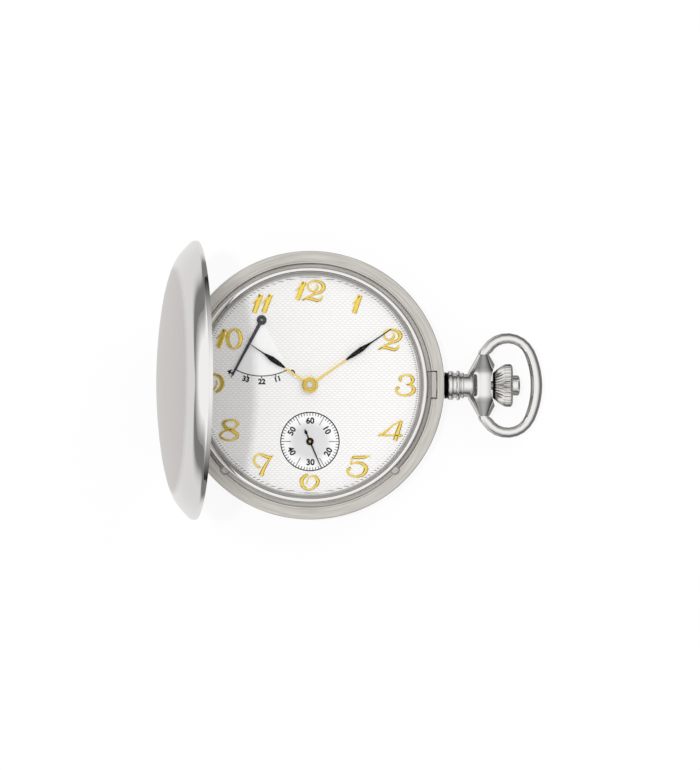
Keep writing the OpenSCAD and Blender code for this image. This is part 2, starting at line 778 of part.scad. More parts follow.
plate_jewels = [third_at, fourth_at, escape_at, pallet_at, balance_at];
bridge_r = plate_r - 0.5;
screw_ring_r = bridge_r - 0.78;
barrel_screws = [for (a = [14, 88, 150]) polar(screw_ring_r, a)];
train_screws = [for (a = [-62, -104]) polar(screw_ring_r, a)];
cock_screw = polar(16.9, 208.4);
pallet_foot_arm = 3.5;
pallet_foot_dir = 236;
pallet_foot = pallet_at + polar(pallet_foot_arm, pallet_foot_dir);
screw_r = 0.45;
screw_head_r = 0.72;

module main_plate() {
  block_x = crown_wheel_x - 0.58;
  color(rhodium) difference() {
    union() {
      disc(plate_r, plate_z, plate_top);
      ring(wall_in, plate_r, bridge_top, plate_z);
      translate([block_x, -0.6, plate_z - 1]) cube([0.8, 1.2, 1.1]);
      translate([wall_in - 0.6, -2, plate_z - 1.6]) cube([1.2, 4, 1.7]);
      at(cock_screw) disc(1.4, bridge_top, plate_z);
    }
    at(barrel_at) disc(barrel_r + 0.65, bridge_top - 1, plate_z);
    at(barrel_at) disc(barrel_r + 0.2, plate_z - eps, barrel_top + 0.1);
    at(barrel_at) disc(0.5, plate_z - 1, recess_z + 2);
    // recesses on the dial side for the motion work, the setting parts and the reserve wheel
    disc(hour_teeth * hour_m / 2 + 0.4, recess_z, plate_top + 1);
    at(minute_at) disc(minute_teeth * motion_m / 2 + 0.4, recess_z, plate_top + 1);
    at(reserve_at) disc(reserve_teeth * reserve_m / 2 + 0.6, recess_z + 0.4, plate_top + 1);
    intersection() {
      disc(plate_r - 0.4, recess_z, plate_top + 1);
      translate([crown_wheel_x - 1.2, -5.6, recess_z]) cube([10, 12.4, 3]);
    }
    // the stem's bore and the room for its pinion and clutch
    stem_bar(stem_pilot_r + stem_fit, block_x - 1, crown_wheel_x + 1);
    stem_bar(stem_r - 0.08 + 0.05, crown_wheel_x, plate_r + 1);
    translate([block_x + 0.8, -1.5, bridge_top - 1])
      cube([pinion_x - block_x - 0.8, 3, recess_z - bridge_top + 2]);
    translate([pinion_x - 0.2, -2.3, bridge_top - 1])
      cube([pinion_len + 0.4, 4.6, recess_z - bridge_top + 2]);
    translate([lever_groove_x - 0.2, -0.6, stem_z]) cube([2, 1.2, 3]);
    disc(centre_arbor_r + 0.05, plate_z - 1, plate_top + 1);
    at(fourth_at) disc(seconds_arbor_r + 0.06, plate_z - 1, plate_top + 1);
    for (p = plate_jewels) jewel_seat(p, plate_z - eps, plate_z + jewel_t);
    for (p = [third_at, escape_at, pallet_at, balance_at]) at(p) disc(0.3, plate_z, plate_top + 1);
    for (p = concat(barrel_screws, train_screws, [cock_screw])) at(p)
      disc(screw_r, bridge_top - 1, bridge_top + 1.2);
    at(pallet_foot) disc(0.32, plate_z - 1, plate_z + 0.9);
    at(lever_pivot) disc(0.35, recess_z - 0.7, recess_z + 1);
    at(yoke_pivot) disc(0.35, recess_z - 0.3, recess_z + 1);
    at(reserve_at) disc(0.3, recess_z - 0.2, recess_z + 2);
    at(minute_at) disc(0.3, recess_z - 0.2, recess_z + 1);
  }
}

// Upper plates, in outline
module barrel_bridge_2d() {
  difference() {
    circle(bridge_r);
    translate([-1, -15.3]) circle(13);
    translate([balance_at.x, balance_at.y]) circle(balance_r + 1.8);
    translate([-19, -19]) square([10.4, 19]);
  }
}

module train_bridge_2d() {
  difference() {
    intersection() {
      circle(bridge_r);
      translate([-1, -15.3]) circle(12.7);
    }
    translate([balance_at.x, balance_at.y]) circle(balance_r + 0.9);
    translate([-27.5, -19]) square([20, 14]);
  }
}

module balance_cock_2d() {
  dir = atan2(balance_at.y, balance_at.x);
  intersection() {
    circle(bridge_r);
    union() {
      translate([balance_at.x, balance_at.y]) circle(1.9);
      rotate(dir) translate([norm(balance_at), -1.3]) square([4.6, 2.6]);
      translate([cock_screw.x, cock_screw.y]) circle(2.2);
    }
  }
}

module bridge_plate() {
  translate([0, 0, bridge_z]) linear_extrude(bridge_t) children();
}

module barrel_bridge() {
  ring_in = crown_wheel_r - 0.85;
  color(rhodium) difference() {
    union() {
      bridge_plate() barrel_bridge_2d();
      intersection() {
        at(crown_wheel_at) disc(crown_wheel_r + 0.35, bridge_z, bridge_top + 0.4);
        disc(wall_in - 0.1, bridge_z, bridge_top + 0.4);
      }
      at(crown_wheel_at) disc(0.9, wind_z, bridge_z + eps);
      at(barrel_at) disc(1.4, bridge_z - 0.04, bridge_z + eps);
    }
    at(crown_wheel_at) translate([0, 0, bridge_z - 1])
      linear_extrude(crown_top_z + 0.08 - bridge_z + 1) difference() {
      circle(crown_wheel_r + 0.15);
      circle(ring_in);
    }
    translate([pinion_x - 0.2, -2.3, bridge_z + 0.6]) cube([pinion_len + 0.4, 4.6, 3]);
    at(crown_wheel_at) disc(0.45, wind_z - 1, bridge_top);
    at(barrel_at) disc(1.05, bridge_z - 1, bridge_top + 1);
    jewel_seat(centre_at, bridge_top - jewel_t, bridge_top + eps);
    disc(0.3, bridge_z - 1, bridge_top);
    for (p = barrel_screws) at(p) {
      disc(screw_r + 0.05, bridge_z - 1, bridge_top + 1);
      disc(screw_head_r + 0.05, bridge_z - 1, bridge_z + 0.4);
    }
    at(click_at) disc(0.3, bridge_z - 1, bridge_top - 0.2);
    for (s = [0, 1]) at(click_spring_screws[s]) disc(0.3, bridge_z - 1, bridge_top - 0.2);
  }
}

module train_bridge() {
  color(rhodium) difference() {
    bridge_plate() train_bridge_2d();
    for (p = [third_at, fourth_at, escape_at]) {
      jewel_seat(p, bridge_top - jewel_t, bridge_top + eps);
      at(p) disc(0.3, bridge_z - 1, bridge_top);
    }
    for (p = train_screws) at(p) {
      disc(screw_r + 0.05, bridge_z - 1, bridge_top + 1);
      disc(screw_head_r + 0.05, bridge_z - 1, bridge_z + 0.4);
    }
  }
}

module balance_cock() {
  stud_at = balance_at + polar(hairspring_out + 0.12, 208.4);
  color(rhodium) difference() {
    union() {
      bridge_plate() balance_cock_2d();
      at(balance_at) disc(0.75, bridge_z - 0.4, bridge_z + eps);
      at(stud_at) disc(0.2, bridge_top - eps, hairspring_z + 0.25);
    }
    jewel_seat(balance_at, bridge_top - jewel_t, bridge_top + eps);
    at(balance_at) disc(0.3, bridge_z - 1, bridge_top);
    at(cock_screw) disc(screw_r + 0.05, bridge_z - 1, bridge_top + 1);
    at(cock_screw) disc(screw_head_r + 0.05, bridge_z - 1, bridge_z + 0.4);
  }
}

module pallet_bridge() {
  z0 = fork_z - 0.6;
  color(rhodium) difference() {
    union() {
      translate([0, 0, z0]) linear_extrude(0.35) {
        translate([pallet_at.x, pallet_at.y]) circle(0.85);
        translate([pallet_foot.x, pallet_foot.y]) circle(0.85);
        translate([pallet_at.x, pallet_at.y]) rotate(pallet_foot_dir) translate([0, -0.55])
          square([pallet_foot_arm, 1.1]);
      }
      at(pallet_foot) disc(0.85, z0 + 0.35 - eps, plate_z);
    }
    at(pallet_at) disc(pivot_r + jewel_fit, z0 - 1, z0 + 1);
    at(pallet_foot) disc(0.34, z0 - 1, plate_z + 1);
  }
}

module slotted_screw(r, head_r, z0, z1, head_h) {
  difference() {
    union() {
      disc(r, z0, z1);
      disc(head_r, z0, z0 + head_h);
    }
    translate([-head_r - 1, -0.1, z0 - 1]) cube([2 * head_r + 2, 0.2, 1.15]);
  }
}

module bridge_screws() {
  color(blued) {
    for (p = concat(barrel_screws, train_screws, [cock_screw])) at(p)
      slotted_screw(screw_r, screw_head_r, bridge_z - 0.15, bridge_top + 1.1, 0.55);
    at(pallet_foot) slotted_screw(0.32, 0.6, fork_z - 0.95, plate_z + 0.8, 0.35);
  }
}

module jewel(z0, hole) {
  ring(hole + jewel_fit, jewel_r, z0, z0 + jewel_t);
}

module jewels() {
  color(ruby) {
    for (p = [third_at, escape_at, pallet_at, balance_at]) at(p) jewel(plate_z, pivot_r);
    at(fourth_at) jewel(plate_z, seconds_arbor_r);
    for (p = [third_at, fourth_at, escape_at, balance_at, centre_at]) at(p)
      jewel(bridge_top - jewel_t, pivot_r);
  }
}

// Barrel
module barrel_drum() {
  color(gilt) at(barrel_at) difference() {
    union() {
      translate([0, 0, barrel_z]) linear_extrude(0.4)
        wheel_teeth(barrel_teeth, barrel_m, barrel_phase);
      disc(barrel_r, barrel_z, barrel_top);
    }
    disc(barrel_r - 0.35, barrel_z + 0.3, barrel_top + 1);
    disc(0.95, barrel_z - 1, barrel_z + 1);
  }
}

module barrel_cover() {
  color(gilt) at(barrel_at) ring(0.9, barrel_r - 0.37, barrel_top - 0.25, barrel_top);
}

// The mainspring: a strip wound from the arbor out to the drum's wall
module mainspring() {
  turns = 8;
  inner = 1.75;
  outer = barrel_r - 0.55;
  strip = 0.16;
  steps = turns * 16;
  function spiral(i, side) =
    polar(inner + (outer - inner) * i / steps + side * strip / 2, 360 * turns * i / steps);
  color(steel) at(barrel_at) translate([0, 0, barrel_z + 0.4]) linear_extrude(1.3)
    polygon(concat([for (i = [0:steps]) spiral(i, 1)], [for (i = [steps:-1:0]) spiral(i, -1)]));
}

module barrel_arbor() {
  color(steel) at(barrel_at) {
    disc(0.9, wind_z + wind_t + 0.06, barrel_z + 0.35);
    disc(1.6, barrel_z + 0.35, barrel_top - 0.3);
    disc(0.85, barrel_top - 0.3, barrel_top + 0.06);
    disc(0.46, barrel_top, recess_z - 0.02);
    translate([-0.55, -0.55, wind_z]) cube([1.1, 1.1, wind_t + 0.2]);
  }
}

module ratchet_wheel() {
  color(steel) at(barrel_at) translate([0, 0, wind_z]) linear_extrude(wind_t) difference() {
    wheel_teeth(ratchet_teeth, wind_m, ratchet_phase);
    square(1.12, center = true);
  }
}

module ratchet_screw() {
  color(blued) at(barrel_at) difference() {
    disc(1.3, wind_z - 0.35, wind_z);
    translate([-2, -0.12, wind_z - 1]) cube([4, 0.24, 0.8]);
  }
}

// The crown wheel: flat teeth for the ratchet wheel, and a crown of teeth that stands up
// through the bridge to the winding pinion
module crown_wheel() {
  tall = crown_top_z - wind_z;
  color(steel) at(crown_wheel_at) difference() {
    union() {
      translate([0, 0, wind_z]) linear_extrude(wind_t)
        wheel_teeth(crown_teeth, wind_m, 0);
      disc(crown_wheel_r - 0.3, wind_z, wind_z + tall);
    }
    disc(0.93, wind_z - 1, wind_z + tall + 1);
    disc(crown_wheel_r - 0.7, wind_z + wind_t, wind_z + tall + 1);
    for (i = [0:crown_teeth - 1]) rotate(360 / crown_teeth * (i + 0.5))
      translate([crown_wheel_r - 1, -face_gap / 2, crown_top_z - face_h]) cube([1, face_gap, 1]);
  }
}
pinion_r = (crown_wheel_r - 0.5) * pinion_teeth / crown_teeth;
pinion_add = 0.16;
face_gap = 0.4;
face_h = 0.32;
// The standing teeth reach this far up into the winding pinion
crown_top_z = stem_z - pinion_r - pinion_add + 0.24;

module crown_wheel_screw() {
  color(blued) at(crown_wheel_at)
    slotted_screw(0.42, 1.5, wind_z - 0.37, bridge_z + 0.9, 0.34);
}

click_dir = 150;
click_arm = 6.9;
click_at = barrel_at + polar(click_arm, click_dir);
click_spring_screws = [click_at + polar(3, 60), click_at + polar(1.9, 95)];

module click() {
  beak = click_at + polar(click_arm - ratchet_r - 0.05, click_dir + 180 + 24);
  color(steel) translate([0, 0, wind_z]) linear_extrude(wind_t) difference() {
    union() {
      translate([click_at.x, click_at.y]) circle(0.8);
      polygon([click_at + polar(0.7, click_dir - 60), click_at + polar(0.7, click_dir + 120),
               beak + polar(0.08, click_dir + 120), beak + polar(0.08, click_dir - 60)]);
    }
    translate([click_at.x, click_at.y]) circle(0.33);
  }
}

module click_spring() {
  color(steel) {
    at(click_at) slotted_screw(0.3, 0.6, wind_z - 0.3, bridge_top - 0.3, 0.28);
    for (p = click_spring_screws) at(p) slotted_screw(0.28, 0.5, wind_z - 0.1, bridge_top - 0.3, 0.3);
    translate([0, 0, wind_z + 0.2]) linear_extrude(0.2) hull_bar(click_spring_screws[0],
                                                                 click_spring_screws[1], 0.45);
  }
}

// A flat bar with round ends
module hull_bar(a, b, r) {
  translate([a.x, a.y]) circle(r);
  translate([b.x, b.y]) circle(r);
  translate([a.x, a.y]) rotate(heading(a, b)) translate([0, -r]) square([norm(b - a), 2 * r]);
}

// Keyless work
module winding_pinion() {
  color(steel) translate([pinion_x, 0, stem_z]) rotate([0, 90, 0]) linear_extrude(pinion_len)
    difference() {
      polygon(gear_outline(pinion_teeth, 2 * pinion_r / pinion_teeth, 360 / pinion_teeth / 2,
                           pinion_add / (2 * pinion_r / pinion_teeth), 1.4, 0.1, 0.4));
      circle(stem_r - 0.08 + 0.04);
    }
}

module sliding_clutch() {
  groove = 0.4;
  color(steel) difference() {
    union() {
      stem_bar(1.3, clutch_x, clutch_x + 0.5);
      stem_bar(0.95, clutch_x + 0.5 - eps, clutch_x + 0.5 + groove + eps);
      stem_bar(1.3, clutch_x + 0.5 + groove, clutch_x + clutch_len);
    }
    translate([clutch_x - 1, -stem_square / 2 - 0.03, stem_z - stem_square / 2 - 0.03])
      cube([clutch_len + 2, stem_square + 0.06, stem_square + 0.06]);
  }
}

pull_travel = 0.7;
lever_arm = 3.9;
lever_pivot = [lever_groove_x + lever_groove_w / 2 + pull_travel / 2, -lever_arm];
yoke_arm = 5.2;
yoke_pivot = [clutch_x + 0.7 - pull_travel / 2, yoke_arm];
lever_z = recess_z + 0.05;

module setting_lever() {
  tip = [lever_groove_x + lever_groove_w / 2, 0];
  color(steel) {
    translate([0, 0, lever_z]) linear_extrude(0.35) {
      hull_bar(lever_pivot, tip, 0.45);
      translate([lever_pivot.x, lever_pivot.y]) circle(0.65);
    }
    at(lever_pivot) disc(0.3, recess_z - 0.6, lever_z + 0.7);
    at(tip) disc(0.22, stem_z + 0.5, lever_z + 0.2);
  }
}

module yoke() {
  tip = [clutch_x + 0.7, 0];
  color(steel) {
    translate([0, 0, lever_z]) linear_extrude(0.35) {
      hull_bar(yoke_pivot, tip, 0.4);
      translate([yoke_pivot.x, yoke_pivot.y]) circle(0.9);
    }
    at(yoke_pivot) disc(0.3, recess_z - 0.25, lever_z + 0.7);
    translate([tip.x - 0.14, -0.4, stem_z + 1.02]) cube([0.28, 0.8, lever_z - stem_z - 1]);
  }
}

// Going train
module centre_wheel() {
  color(gilt) spoked_wheel(centre_teeth, centre_m, 0, 0.5, 0.9, 4, 0.5,
                           centre_wheel_z, centre_wheel_z + 0.25);
  color(steel) {
    disc(centre_arbor_r, bridge_top + 0.06, minute_z + 0.4);
    disc(pivot_r, bridge_top - jewel_t, bridge_top + 0.1);
    translate([0, 0, barrel_z - 0.05]) linear_extrude(0.55)
      pinion_teeth_2d(centre_pinion_teeth, barrel_m, centre_pinion_phase);
  }
}

module third_wheel() {
  color(gilt) at(third_at) spoked_wheel(third_teeth, third_m, 0, 0.4, 0.75, 4, 0.4,
                                        third_wheel_z, third_wheel_z + 0.2);
  color(steel) at(third_at) {
    arbor(arbor_r, bridge_top + 0.05, plate_z - 0.05, 0.35);
    translate([0, 0, bridge_top + 0.07]) linear_extrude(0.48)
      pinion_teeth_2d(third_pinion_teeth, centre_m, third_pinion_phase);
  }
}

module fourth_wheel() {
  color(gilt) at(fourth_at) spoked_wheel(fourth_teeth, fourth_m, 0, 0.35, 0.65, 4, 0.35,
                                         fourth_wheel_z, fourth_wheel_z + 0.2);
  color(steel) at(fourth_at) {
    disc(arbor_r, bridge_top + 0.05, plate_z - 0.05);
    disc(pivot_r, bridge_top - 0.3, bridge_top + 0.1);
    disc(seconds_arbor_r, plate_z - 0.1, seconds_z + hand_t);
    translate([0, 0, third_wheel_z - 0.15]) linear_extrude(0.5)
      pinion_teeth_2d(fourth_pinion_teeth, third_m, fourth_pinion_phase);
  }
}

module escape_wheel() {
  root = escape_r - 0.62;
  color(steel) at(escape_at) {
    translate([0, 0, escape_wheel_z]) linear_extrude(0.16) {
      difference() {
        polygon([for (i = [0:escape_teeth - 1])
          for (c = [[-9, root], [-1.4, escape_r], [1.4, escape_r - 0.06], [-2.5, root + 0.05]])
            polar(c.y, escape_phase + 360 / escape_teeth * i + c.x)]);
        circle(root - 0.25);
      }
      for (i = [0:3]) rotate(90 * i) translate([0, -0.12]) square([root - 0.1, 0.24]);
      circle(0.5);
    }
    arbor(arbor_r, bridge_top + 0.05, plate_z - 0.05, 0.35);
    translate([0, 0, fourth_wheel_z - 0.12]) linear_extrude(0.5)
      pinion_teeth_2d(escape_pinion_teeth, fourth_m, escape_pinion_phase);
  }
}

// The pallet fork: two arms with ruby pallets, and a lever with a notch for the balance's pin
module pallet_fork() {
  to_balance = lever_dir;
  notch = 2.8;
  color(steel) at(pallet_at) {
    translate([0, 0, fork_z]) linear_extrude(0.2) difference() {
      union() {
        circle(0.45);
        rotate(to_balance) translate([0, -0.18]) square([notch - 0.4, 0.36]);
        rotate(to_balance) translate([notch - 0.62, -0.36]) square([0.62, 0.72]);
        for (s = [-1, 1]) {
          stone = escape_at - pallet_at + polar(escape_r + 0.28, lever_dir + 30 * s);
          rotate(heading([0, 0], stone)) translate([0, -0.16]) square([norm(stone), 0.32]);
        }
      }
      rotate(to_balance) translate([notch - 0.3, -0.15]) square([1, 0.3]);
    }
    arbor(0.2, fork_z - 0.2, plate_z - 0.05, 0.35);
  }
  color(ruby) for (s = [-1, 1]) at(escape_at) rotate(lever_dir + 30 * s)
    translate([escape_r - 0.1, -0.15, fork_z + 0.02]) cube([0.55, 0.3, 0.16]);
}

module balance_wheel() {
  color(gilt) at(balance_at) {
    ring(balance_r - 0.6, balance_r, balance_z, balance_z + 0.4);
    for (i = [0:2]) rotate(120 * i + 20) translate([0, -0.25, balance_z + 0.05])
      cube([balance_r - 0.3, 0.5, 0.25]);
    disc(0.8, balance_z + 0.05, balance_z + 0.4);
  }
  color(steel) at(balance_at) {
    arbor(arbor_r, bridge_top + 0.05, plate_z - 0.05, 0.35);
    disc(0.45, hairspring_z, hairspring_z + 0.2);
    disc(1.2, fork_z - 0.4, fork_z - 0.2);
  }
  color(ruby) at(balance_at) rotate(lever_dir + 180) translate([1.02, 0, fork_z - 0.2 - eps])
    cylinder(r = 0.1, h = 0.39);
}

hairspring_out = 2.3;

module hairspring() {
  turns = 6;
  inner = 0.47;
  strip = 0.06;
  steps = turns * 16;
  function spiral(i, side) =
    polar(inner + (hairspring_out - inner) * i / steps + side * strip / 2,
          360 * turns * i / steps + 208.4);
  color(blued) at(balance_at) translate([0, 0, hairspring_z]) linear_extrude(0.2)
    polygon(concat([for (i = [0:steps]) spiral(i, 1)], [for (i = [steps:-1:0]) spiral(i, -1)]));
}

module regulator() {
  color(steel) at(balance_at) translate([0, 0, bridge_z - 0.3]) linear_extrude(0.28) difference() {
    union() {
      circle(1.25);
      rotate(100) translate([0, -0.22]) square([4.2, 0.44]);
      rotate(100) translate([3.9, 0]) circle(0.42);
      rotate(280) translate([0, -0.3]) square([1.9, 0.6]);
    }
    circle(0.8);
  }
}

// Motion work under the dial
module cannon_pinion() {
  color(steel) difference() {
    union() {
      translate([0, 0, recess_z + 0.05]) linear_extrude(0.45)
        pinion_teeth_2d(cannon_teeth, motion_m, 0);
      disc(cannon_r, recess_z + 0.4, minute_z);
      disc(cannon_r - 0.12, minute_z - eps, minute_z + hand_t + 0.06);
    }
    disc(centre_arbor_r + 0.03, recess_z - 1, minute_z + 2);
  }
}

module minute_wheel() {
  color(gilt) at(minute_at) difference() {
    translate([0, 0, recess_z + 0.1]) linear_extrude(0.25)
      wheel_teeth(minute_teeth, motion_m, minute_phase);
    disc(0.2, recess_z - 1, recess_z + 0.2);
  }
  color(steel) at(minute_at) {
    disc(0.25, recess_z - 0.15, recess_z + 0.15);
    translate([0, 0, recess_z + 0.3]) linear_extrude(0.55)
      pinion_teeth_2d(minute_pinion_teeth, hour_m, 0);
  }
}

module hour_wheel() {
  color(gilt) difference() {
    union() {
      translate([0, 0, recess_z + 0.6]) linear_extrude(0.25)
        wheel_teeth(hour_teeth, hour_m, hour_phase);
      disc(hour_pipe_r, recess_z + 0.6, hour_z + hand_t);
    }
    disc(cannon_r + 0.04, recess_z, hour_z + 1);
  }
}

module reserve_wheel() {
  color(gilt) at(reserve_at) {
    translate([0, 0, recess_z + 0.5]) linear_extrude(0.2) wheel_teeth(reserve_teeth, reserve_m, 0);
    disc(0.2, recess_z + 0.1, reserve_z + hand_t);
  }
}

// Dial and hands
module dial() {
  color([0.93, 0.93, 0.9]) difference() {
    disc(neck_in - 0.03, plate_top, dial_top);
    at(fourth_at) ring(0.5, seconds_dial_r, dial_top - 0.06, dial_top + 1);
    disc(hour_pipe_r + 0.2, plate_top - 1, dial_top + 1);
    at(fourth_at) disc(0.4, plate_top - 1, dial_top + 1);
    at(reserve_at) disc(0.4, plate_top - 1, dial_top + 1);
  }
}

// One side of a hand is a list of [distance, half width], mirrored for the other side
module hand_outline(side) {
  polygon(concat(side, [for (i = [len(side) - 1:-1:0]) [side[i].x, -side[i].y]]));
}

hour_angle = 145.6;
minute_angle = 34.6;
seconds_angle = 90 - 26.1 * 6;
reserve_angle = 270 - 28;

// A leaf hand: slim stem, swelling leaf and a long needle
module leaf_hand(length, leaf0, leaf1, wide) {
  hand_outline([[0, 0.2], [leaf0, 0.15], [leaf0 + (leaf1 - leaf0) * 0.3, wide * 0.42],
                [leaf0 + (leaf1 - leaf0) * 0.6, wide / 2], [leaf1 - 0.3, 0.16],
                [leaf1 + 0.3, 0.08], [length, 0.03]]);
}

// A flat hand on its round hub, at its angle, with the bore for its arbor
module hand(angle, z, hub_r, bore_r) {
  difference() {
    union() {
      translate([0, 0, z]) rotate(angle) linear_extrude(hand_t) children();
      disc(hub_r, z, z + hand_t);
    }
    disc(bore_r, z - 1, z + 1);
  }
}

module hour_hand() {
  color(gilt) hand(hour_angle, hour_z, hour_pipe_r + 0.35, hour_pipe_r)
    leaf_hand(hour_len, 5.5, 10.3, 0.98);
}

module minute_hand() {
  color(gilt) hand(minute_angle, minute_z, 1.33, cannon_r - 0.12)
    leaf_hand(minute_len, 8, 13.7, 0.92);
}

module seconds_hand() {
  color(black) at(fourth_at) hand(seconds_angle, seconds_z, 0.7, seconds_arbor_r)
    hand_outline([[-2.4, 0.04], [-1.85, 0.3], [-1.35, 0.11], [0, 0.16], [seconds_len, 0.07]]);
}

module reserve_hand() {
  color([0.3, 0.3, 0.32]) at(reserve_at) hand(reserve_angle, reserve_z, 0.9, 0.2)
    hand_outline([[-0.9, 0.2], [0, 0.34], [reserve_len - 1, 0.19], [reserve_len, 0.03]]);
}

case_band();
back_cover();
front_cover();
hinge_pin();
bezel();
crystal();
crystal_gasket();
rehaut();
lock_spring();
lift_spring();
spring_screws();
pendant();
pendant_tube();
bow();
crown();
crown_button();
button_spring();
push_collar();
winding_stem();
casing_ring();
casing_screws();
main_plate();
barrel_bridge();
train_bridge();
balance_cock();
pallet_bridge();
bridge_screws();
jewels();
barrel_drum();
barrel_cover();
mainspring();
barrel_arbor();
ratchet_wheel();
ratchet_screw();
crown_wheel();
crown_wheel_screw();
click();
click_spring();
winding_pinion();
sliding_clutch();
setting_lever();
yoke();
centre_wheel();
third_wheel();
fourth_wheel();
escape_wheel();
pallet_fork();
balance_wheel();
hairspring();
regulator();
cannon_pinion();
minute_wheel();
hour_wheel();
dial();
hour_hand();
minute_hand();
seconds_hand();
reserve_hand();
reserve_wheel();
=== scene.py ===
"""Full hunter pocket watch: finishes, dial work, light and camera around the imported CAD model."""

import math

import bmesh
import bpy
from mathutils import Euler, Matrix, Vector


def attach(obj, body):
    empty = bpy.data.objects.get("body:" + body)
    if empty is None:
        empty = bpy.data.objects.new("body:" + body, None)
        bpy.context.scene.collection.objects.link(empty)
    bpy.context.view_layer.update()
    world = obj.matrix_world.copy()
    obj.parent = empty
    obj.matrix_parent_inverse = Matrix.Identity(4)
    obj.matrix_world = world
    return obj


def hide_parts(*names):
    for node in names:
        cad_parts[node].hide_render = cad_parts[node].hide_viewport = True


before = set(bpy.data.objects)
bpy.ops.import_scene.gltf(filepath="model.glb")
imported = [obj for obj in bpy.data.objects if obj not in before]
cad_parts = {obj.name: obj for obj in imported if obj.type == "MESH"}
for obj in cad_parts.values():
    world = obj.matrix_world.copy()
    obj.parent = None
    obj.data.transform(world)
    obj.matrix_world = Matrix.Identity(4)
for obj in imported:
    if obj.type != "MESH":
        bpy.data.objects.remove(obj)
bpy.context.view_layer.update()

MM = 0.001
TAU = 2 * math.pi

# Places on the watch, in millimetres, as the CAD source has them
HINGE = Vector((-23.7, 0, 8.25))
LID_OPEN = math.radians(80)
DIAL_TOP = 8.1
HUB = Vector((0, 0, 0))
SECONDS_AT = Vector((0, -10.3, 0))
SECONDS_FLOOR = 8.04
SECONDS_RADIUS = 5.44
RESERVE_AT = Vector((-8.8, 11.84, 0))
RESERVE_RADIUS = 10.2
RESERVE_HALF = 28.5
DIAL_EDGE = 19.75
RIM_TOP = 8.2
# Heights over the back where the turned cap and pins on the hands start
CAP_FOOT = 9.05
CENTRE_PIN_FOOT = 9.34
SMALL_PIN_FOOT = 8.42
# Radii between which the lid's satin dome passes into its polished flank
LID_SATIN = 19.2
LID_POLISH = 20.6
# The lid's soft shoulder: the radii where it starts and ends, and how far it is raised
LID_SHOULDER = (14.5, 24.4)
LID_RAISE = 0.3
# The lip inside the lid ends below this height over the hinge axis, and is left as it is
LID_LIP = 0.6
# The shut lid's outer face looks up: its normals rise by more than this
LID_UPWARD = 0.3
# Ends of the painted shade in the grooves at the pendant's foot and at the crown's root, and its soft
# edge
PENDANT_FOOT = 25.1
CROWN_ROOT = 33.7
ROOT_BLEND = 0.4
# The engine-turned waves of the dial, and the shares of a row where a groove's wall starts and ends
WAVE_ROW = 0.41
WAVE_PERIOD = 0.95
WAVE_SWING = 0.08
WAVE_WALL = (0.08, 0.3)
# How far the waves stay inside the dial's edge and outside the small dial
WAVE_MARGIN = 0.25
SECONDS_MARGIN = 0.12
# The small nick at the end of each row, drawn only as painted shade: its distance from the edge, half
# its length, half its share of a row
NICK_IN = 0.12
NICK_HALF = 0.14
NICK_ROW = 0.2
# The silver middle of the small dial fades between these radii, and its rings have this pitch
SNAIL_FADE = (2.6, 4.4)
SNAIL_PITCH = 0.1963
# The stripes ground across the movement's plates, and their angle
STRIPE_PITCH = 1.208
STRIPE_TURN = 0.8
# A wave texture of scale 1 repeats at this distance
TEXTURE_WAVE = TAU / 20
# Where the black leaf of each hand starts, and how soft its lacquer's edge is
HOUR_LEAF = 5.5
MINUTE_LEAF = 8.0
LEAF_EDGE = 0.06
# The needles: how deep they sit in the steel, and how thick they are
NEEDLE_SINK = 0.06
NEEDLE_THICK = 0.08
# The applied figures: their height, and the pen's thinnest line and the share of each stroke's width
FIGURE_HEIGHT = 0.22
PEN_LEAST = 8
PEN_WEIGHT = 1.12
# Printed ink: how far it starts over the dial, and how thick lines, the ring and the figures are
INK_LOW = 0.003
INK_THICK = 0.01
RING_THICK = 0.011
FIGURE_MIDDLE = 0.01
FIGURE_HALF = 0.005
# The rings on which the small figures stand, and a capital's share of the font's size
SECONDS_RING = 3.75
RESERVE_RING = 11.1
CAPITAL = 0.72
# The share of the crystal that lets light through unchanged
CRYSTAL_CLEAR = 0.85
# Points closer than this, in metres, are one point: in a CAD node's copy, and in a mesh made here
WELD = 2e-6
SAME_POINT = 1e-7

# The photograph's scale on the dial, and the pixel where the hands turn
PIXEL = 0.1822
HUB_PIXEL = (310.3, 384.9)


def linear(code):
    """An sRGB hex colour as the linear colour that a socket takes."""
    parts = [int(code[i : i + 2], 16) / 255 for i in (1, 3, 5)]
    return tuple(c / 12.92 if c <= 0.04045 else ((c + 0.055) / 1.055) ** 2.4 for c in parts) + (1,)


def node(tree, kind, inputs=None, **settings):
    """Adds a node with its settings, and fills or links its inputs."""
    made = tree.nodes.new(kind)
    for key, value in settings.items():
        setattr(made, key, value)
    for key, value in (inputs or {}).items():
        if isinstance(value, bpy.types.NodeSocket):
            tree.links.new(value, made.inputs[key])
        else:
            made.inputs[key].default_value = value
    return made


def finish(name, colour, metallic, roughness):
    """A new material with its shader's plain values, and its coordinates in millimetres."""
    material = bpy.data.materials.new(name)
    material.use_nodes = True
    tree = material.node_tree
    shader = tree.nodes["Principled BSDF"]
    shader.inputs["Base Color"].default_value = linear(colour)
    shader.inputs["Metallic"].default_value = metallic
    shader.inputs["Roughness"].default_value = roughness
    place = node(tree, "ShaderNodeTexCoord")
    scaled = node(
        tree,
        "ShaderNodeMapping",
        {"Vector": place.outputs["Object"], "Scale": (1 / MM, 1 / MM, 1 / MM)},
    )
    return material, tree, shader, scaled.outputs[0]


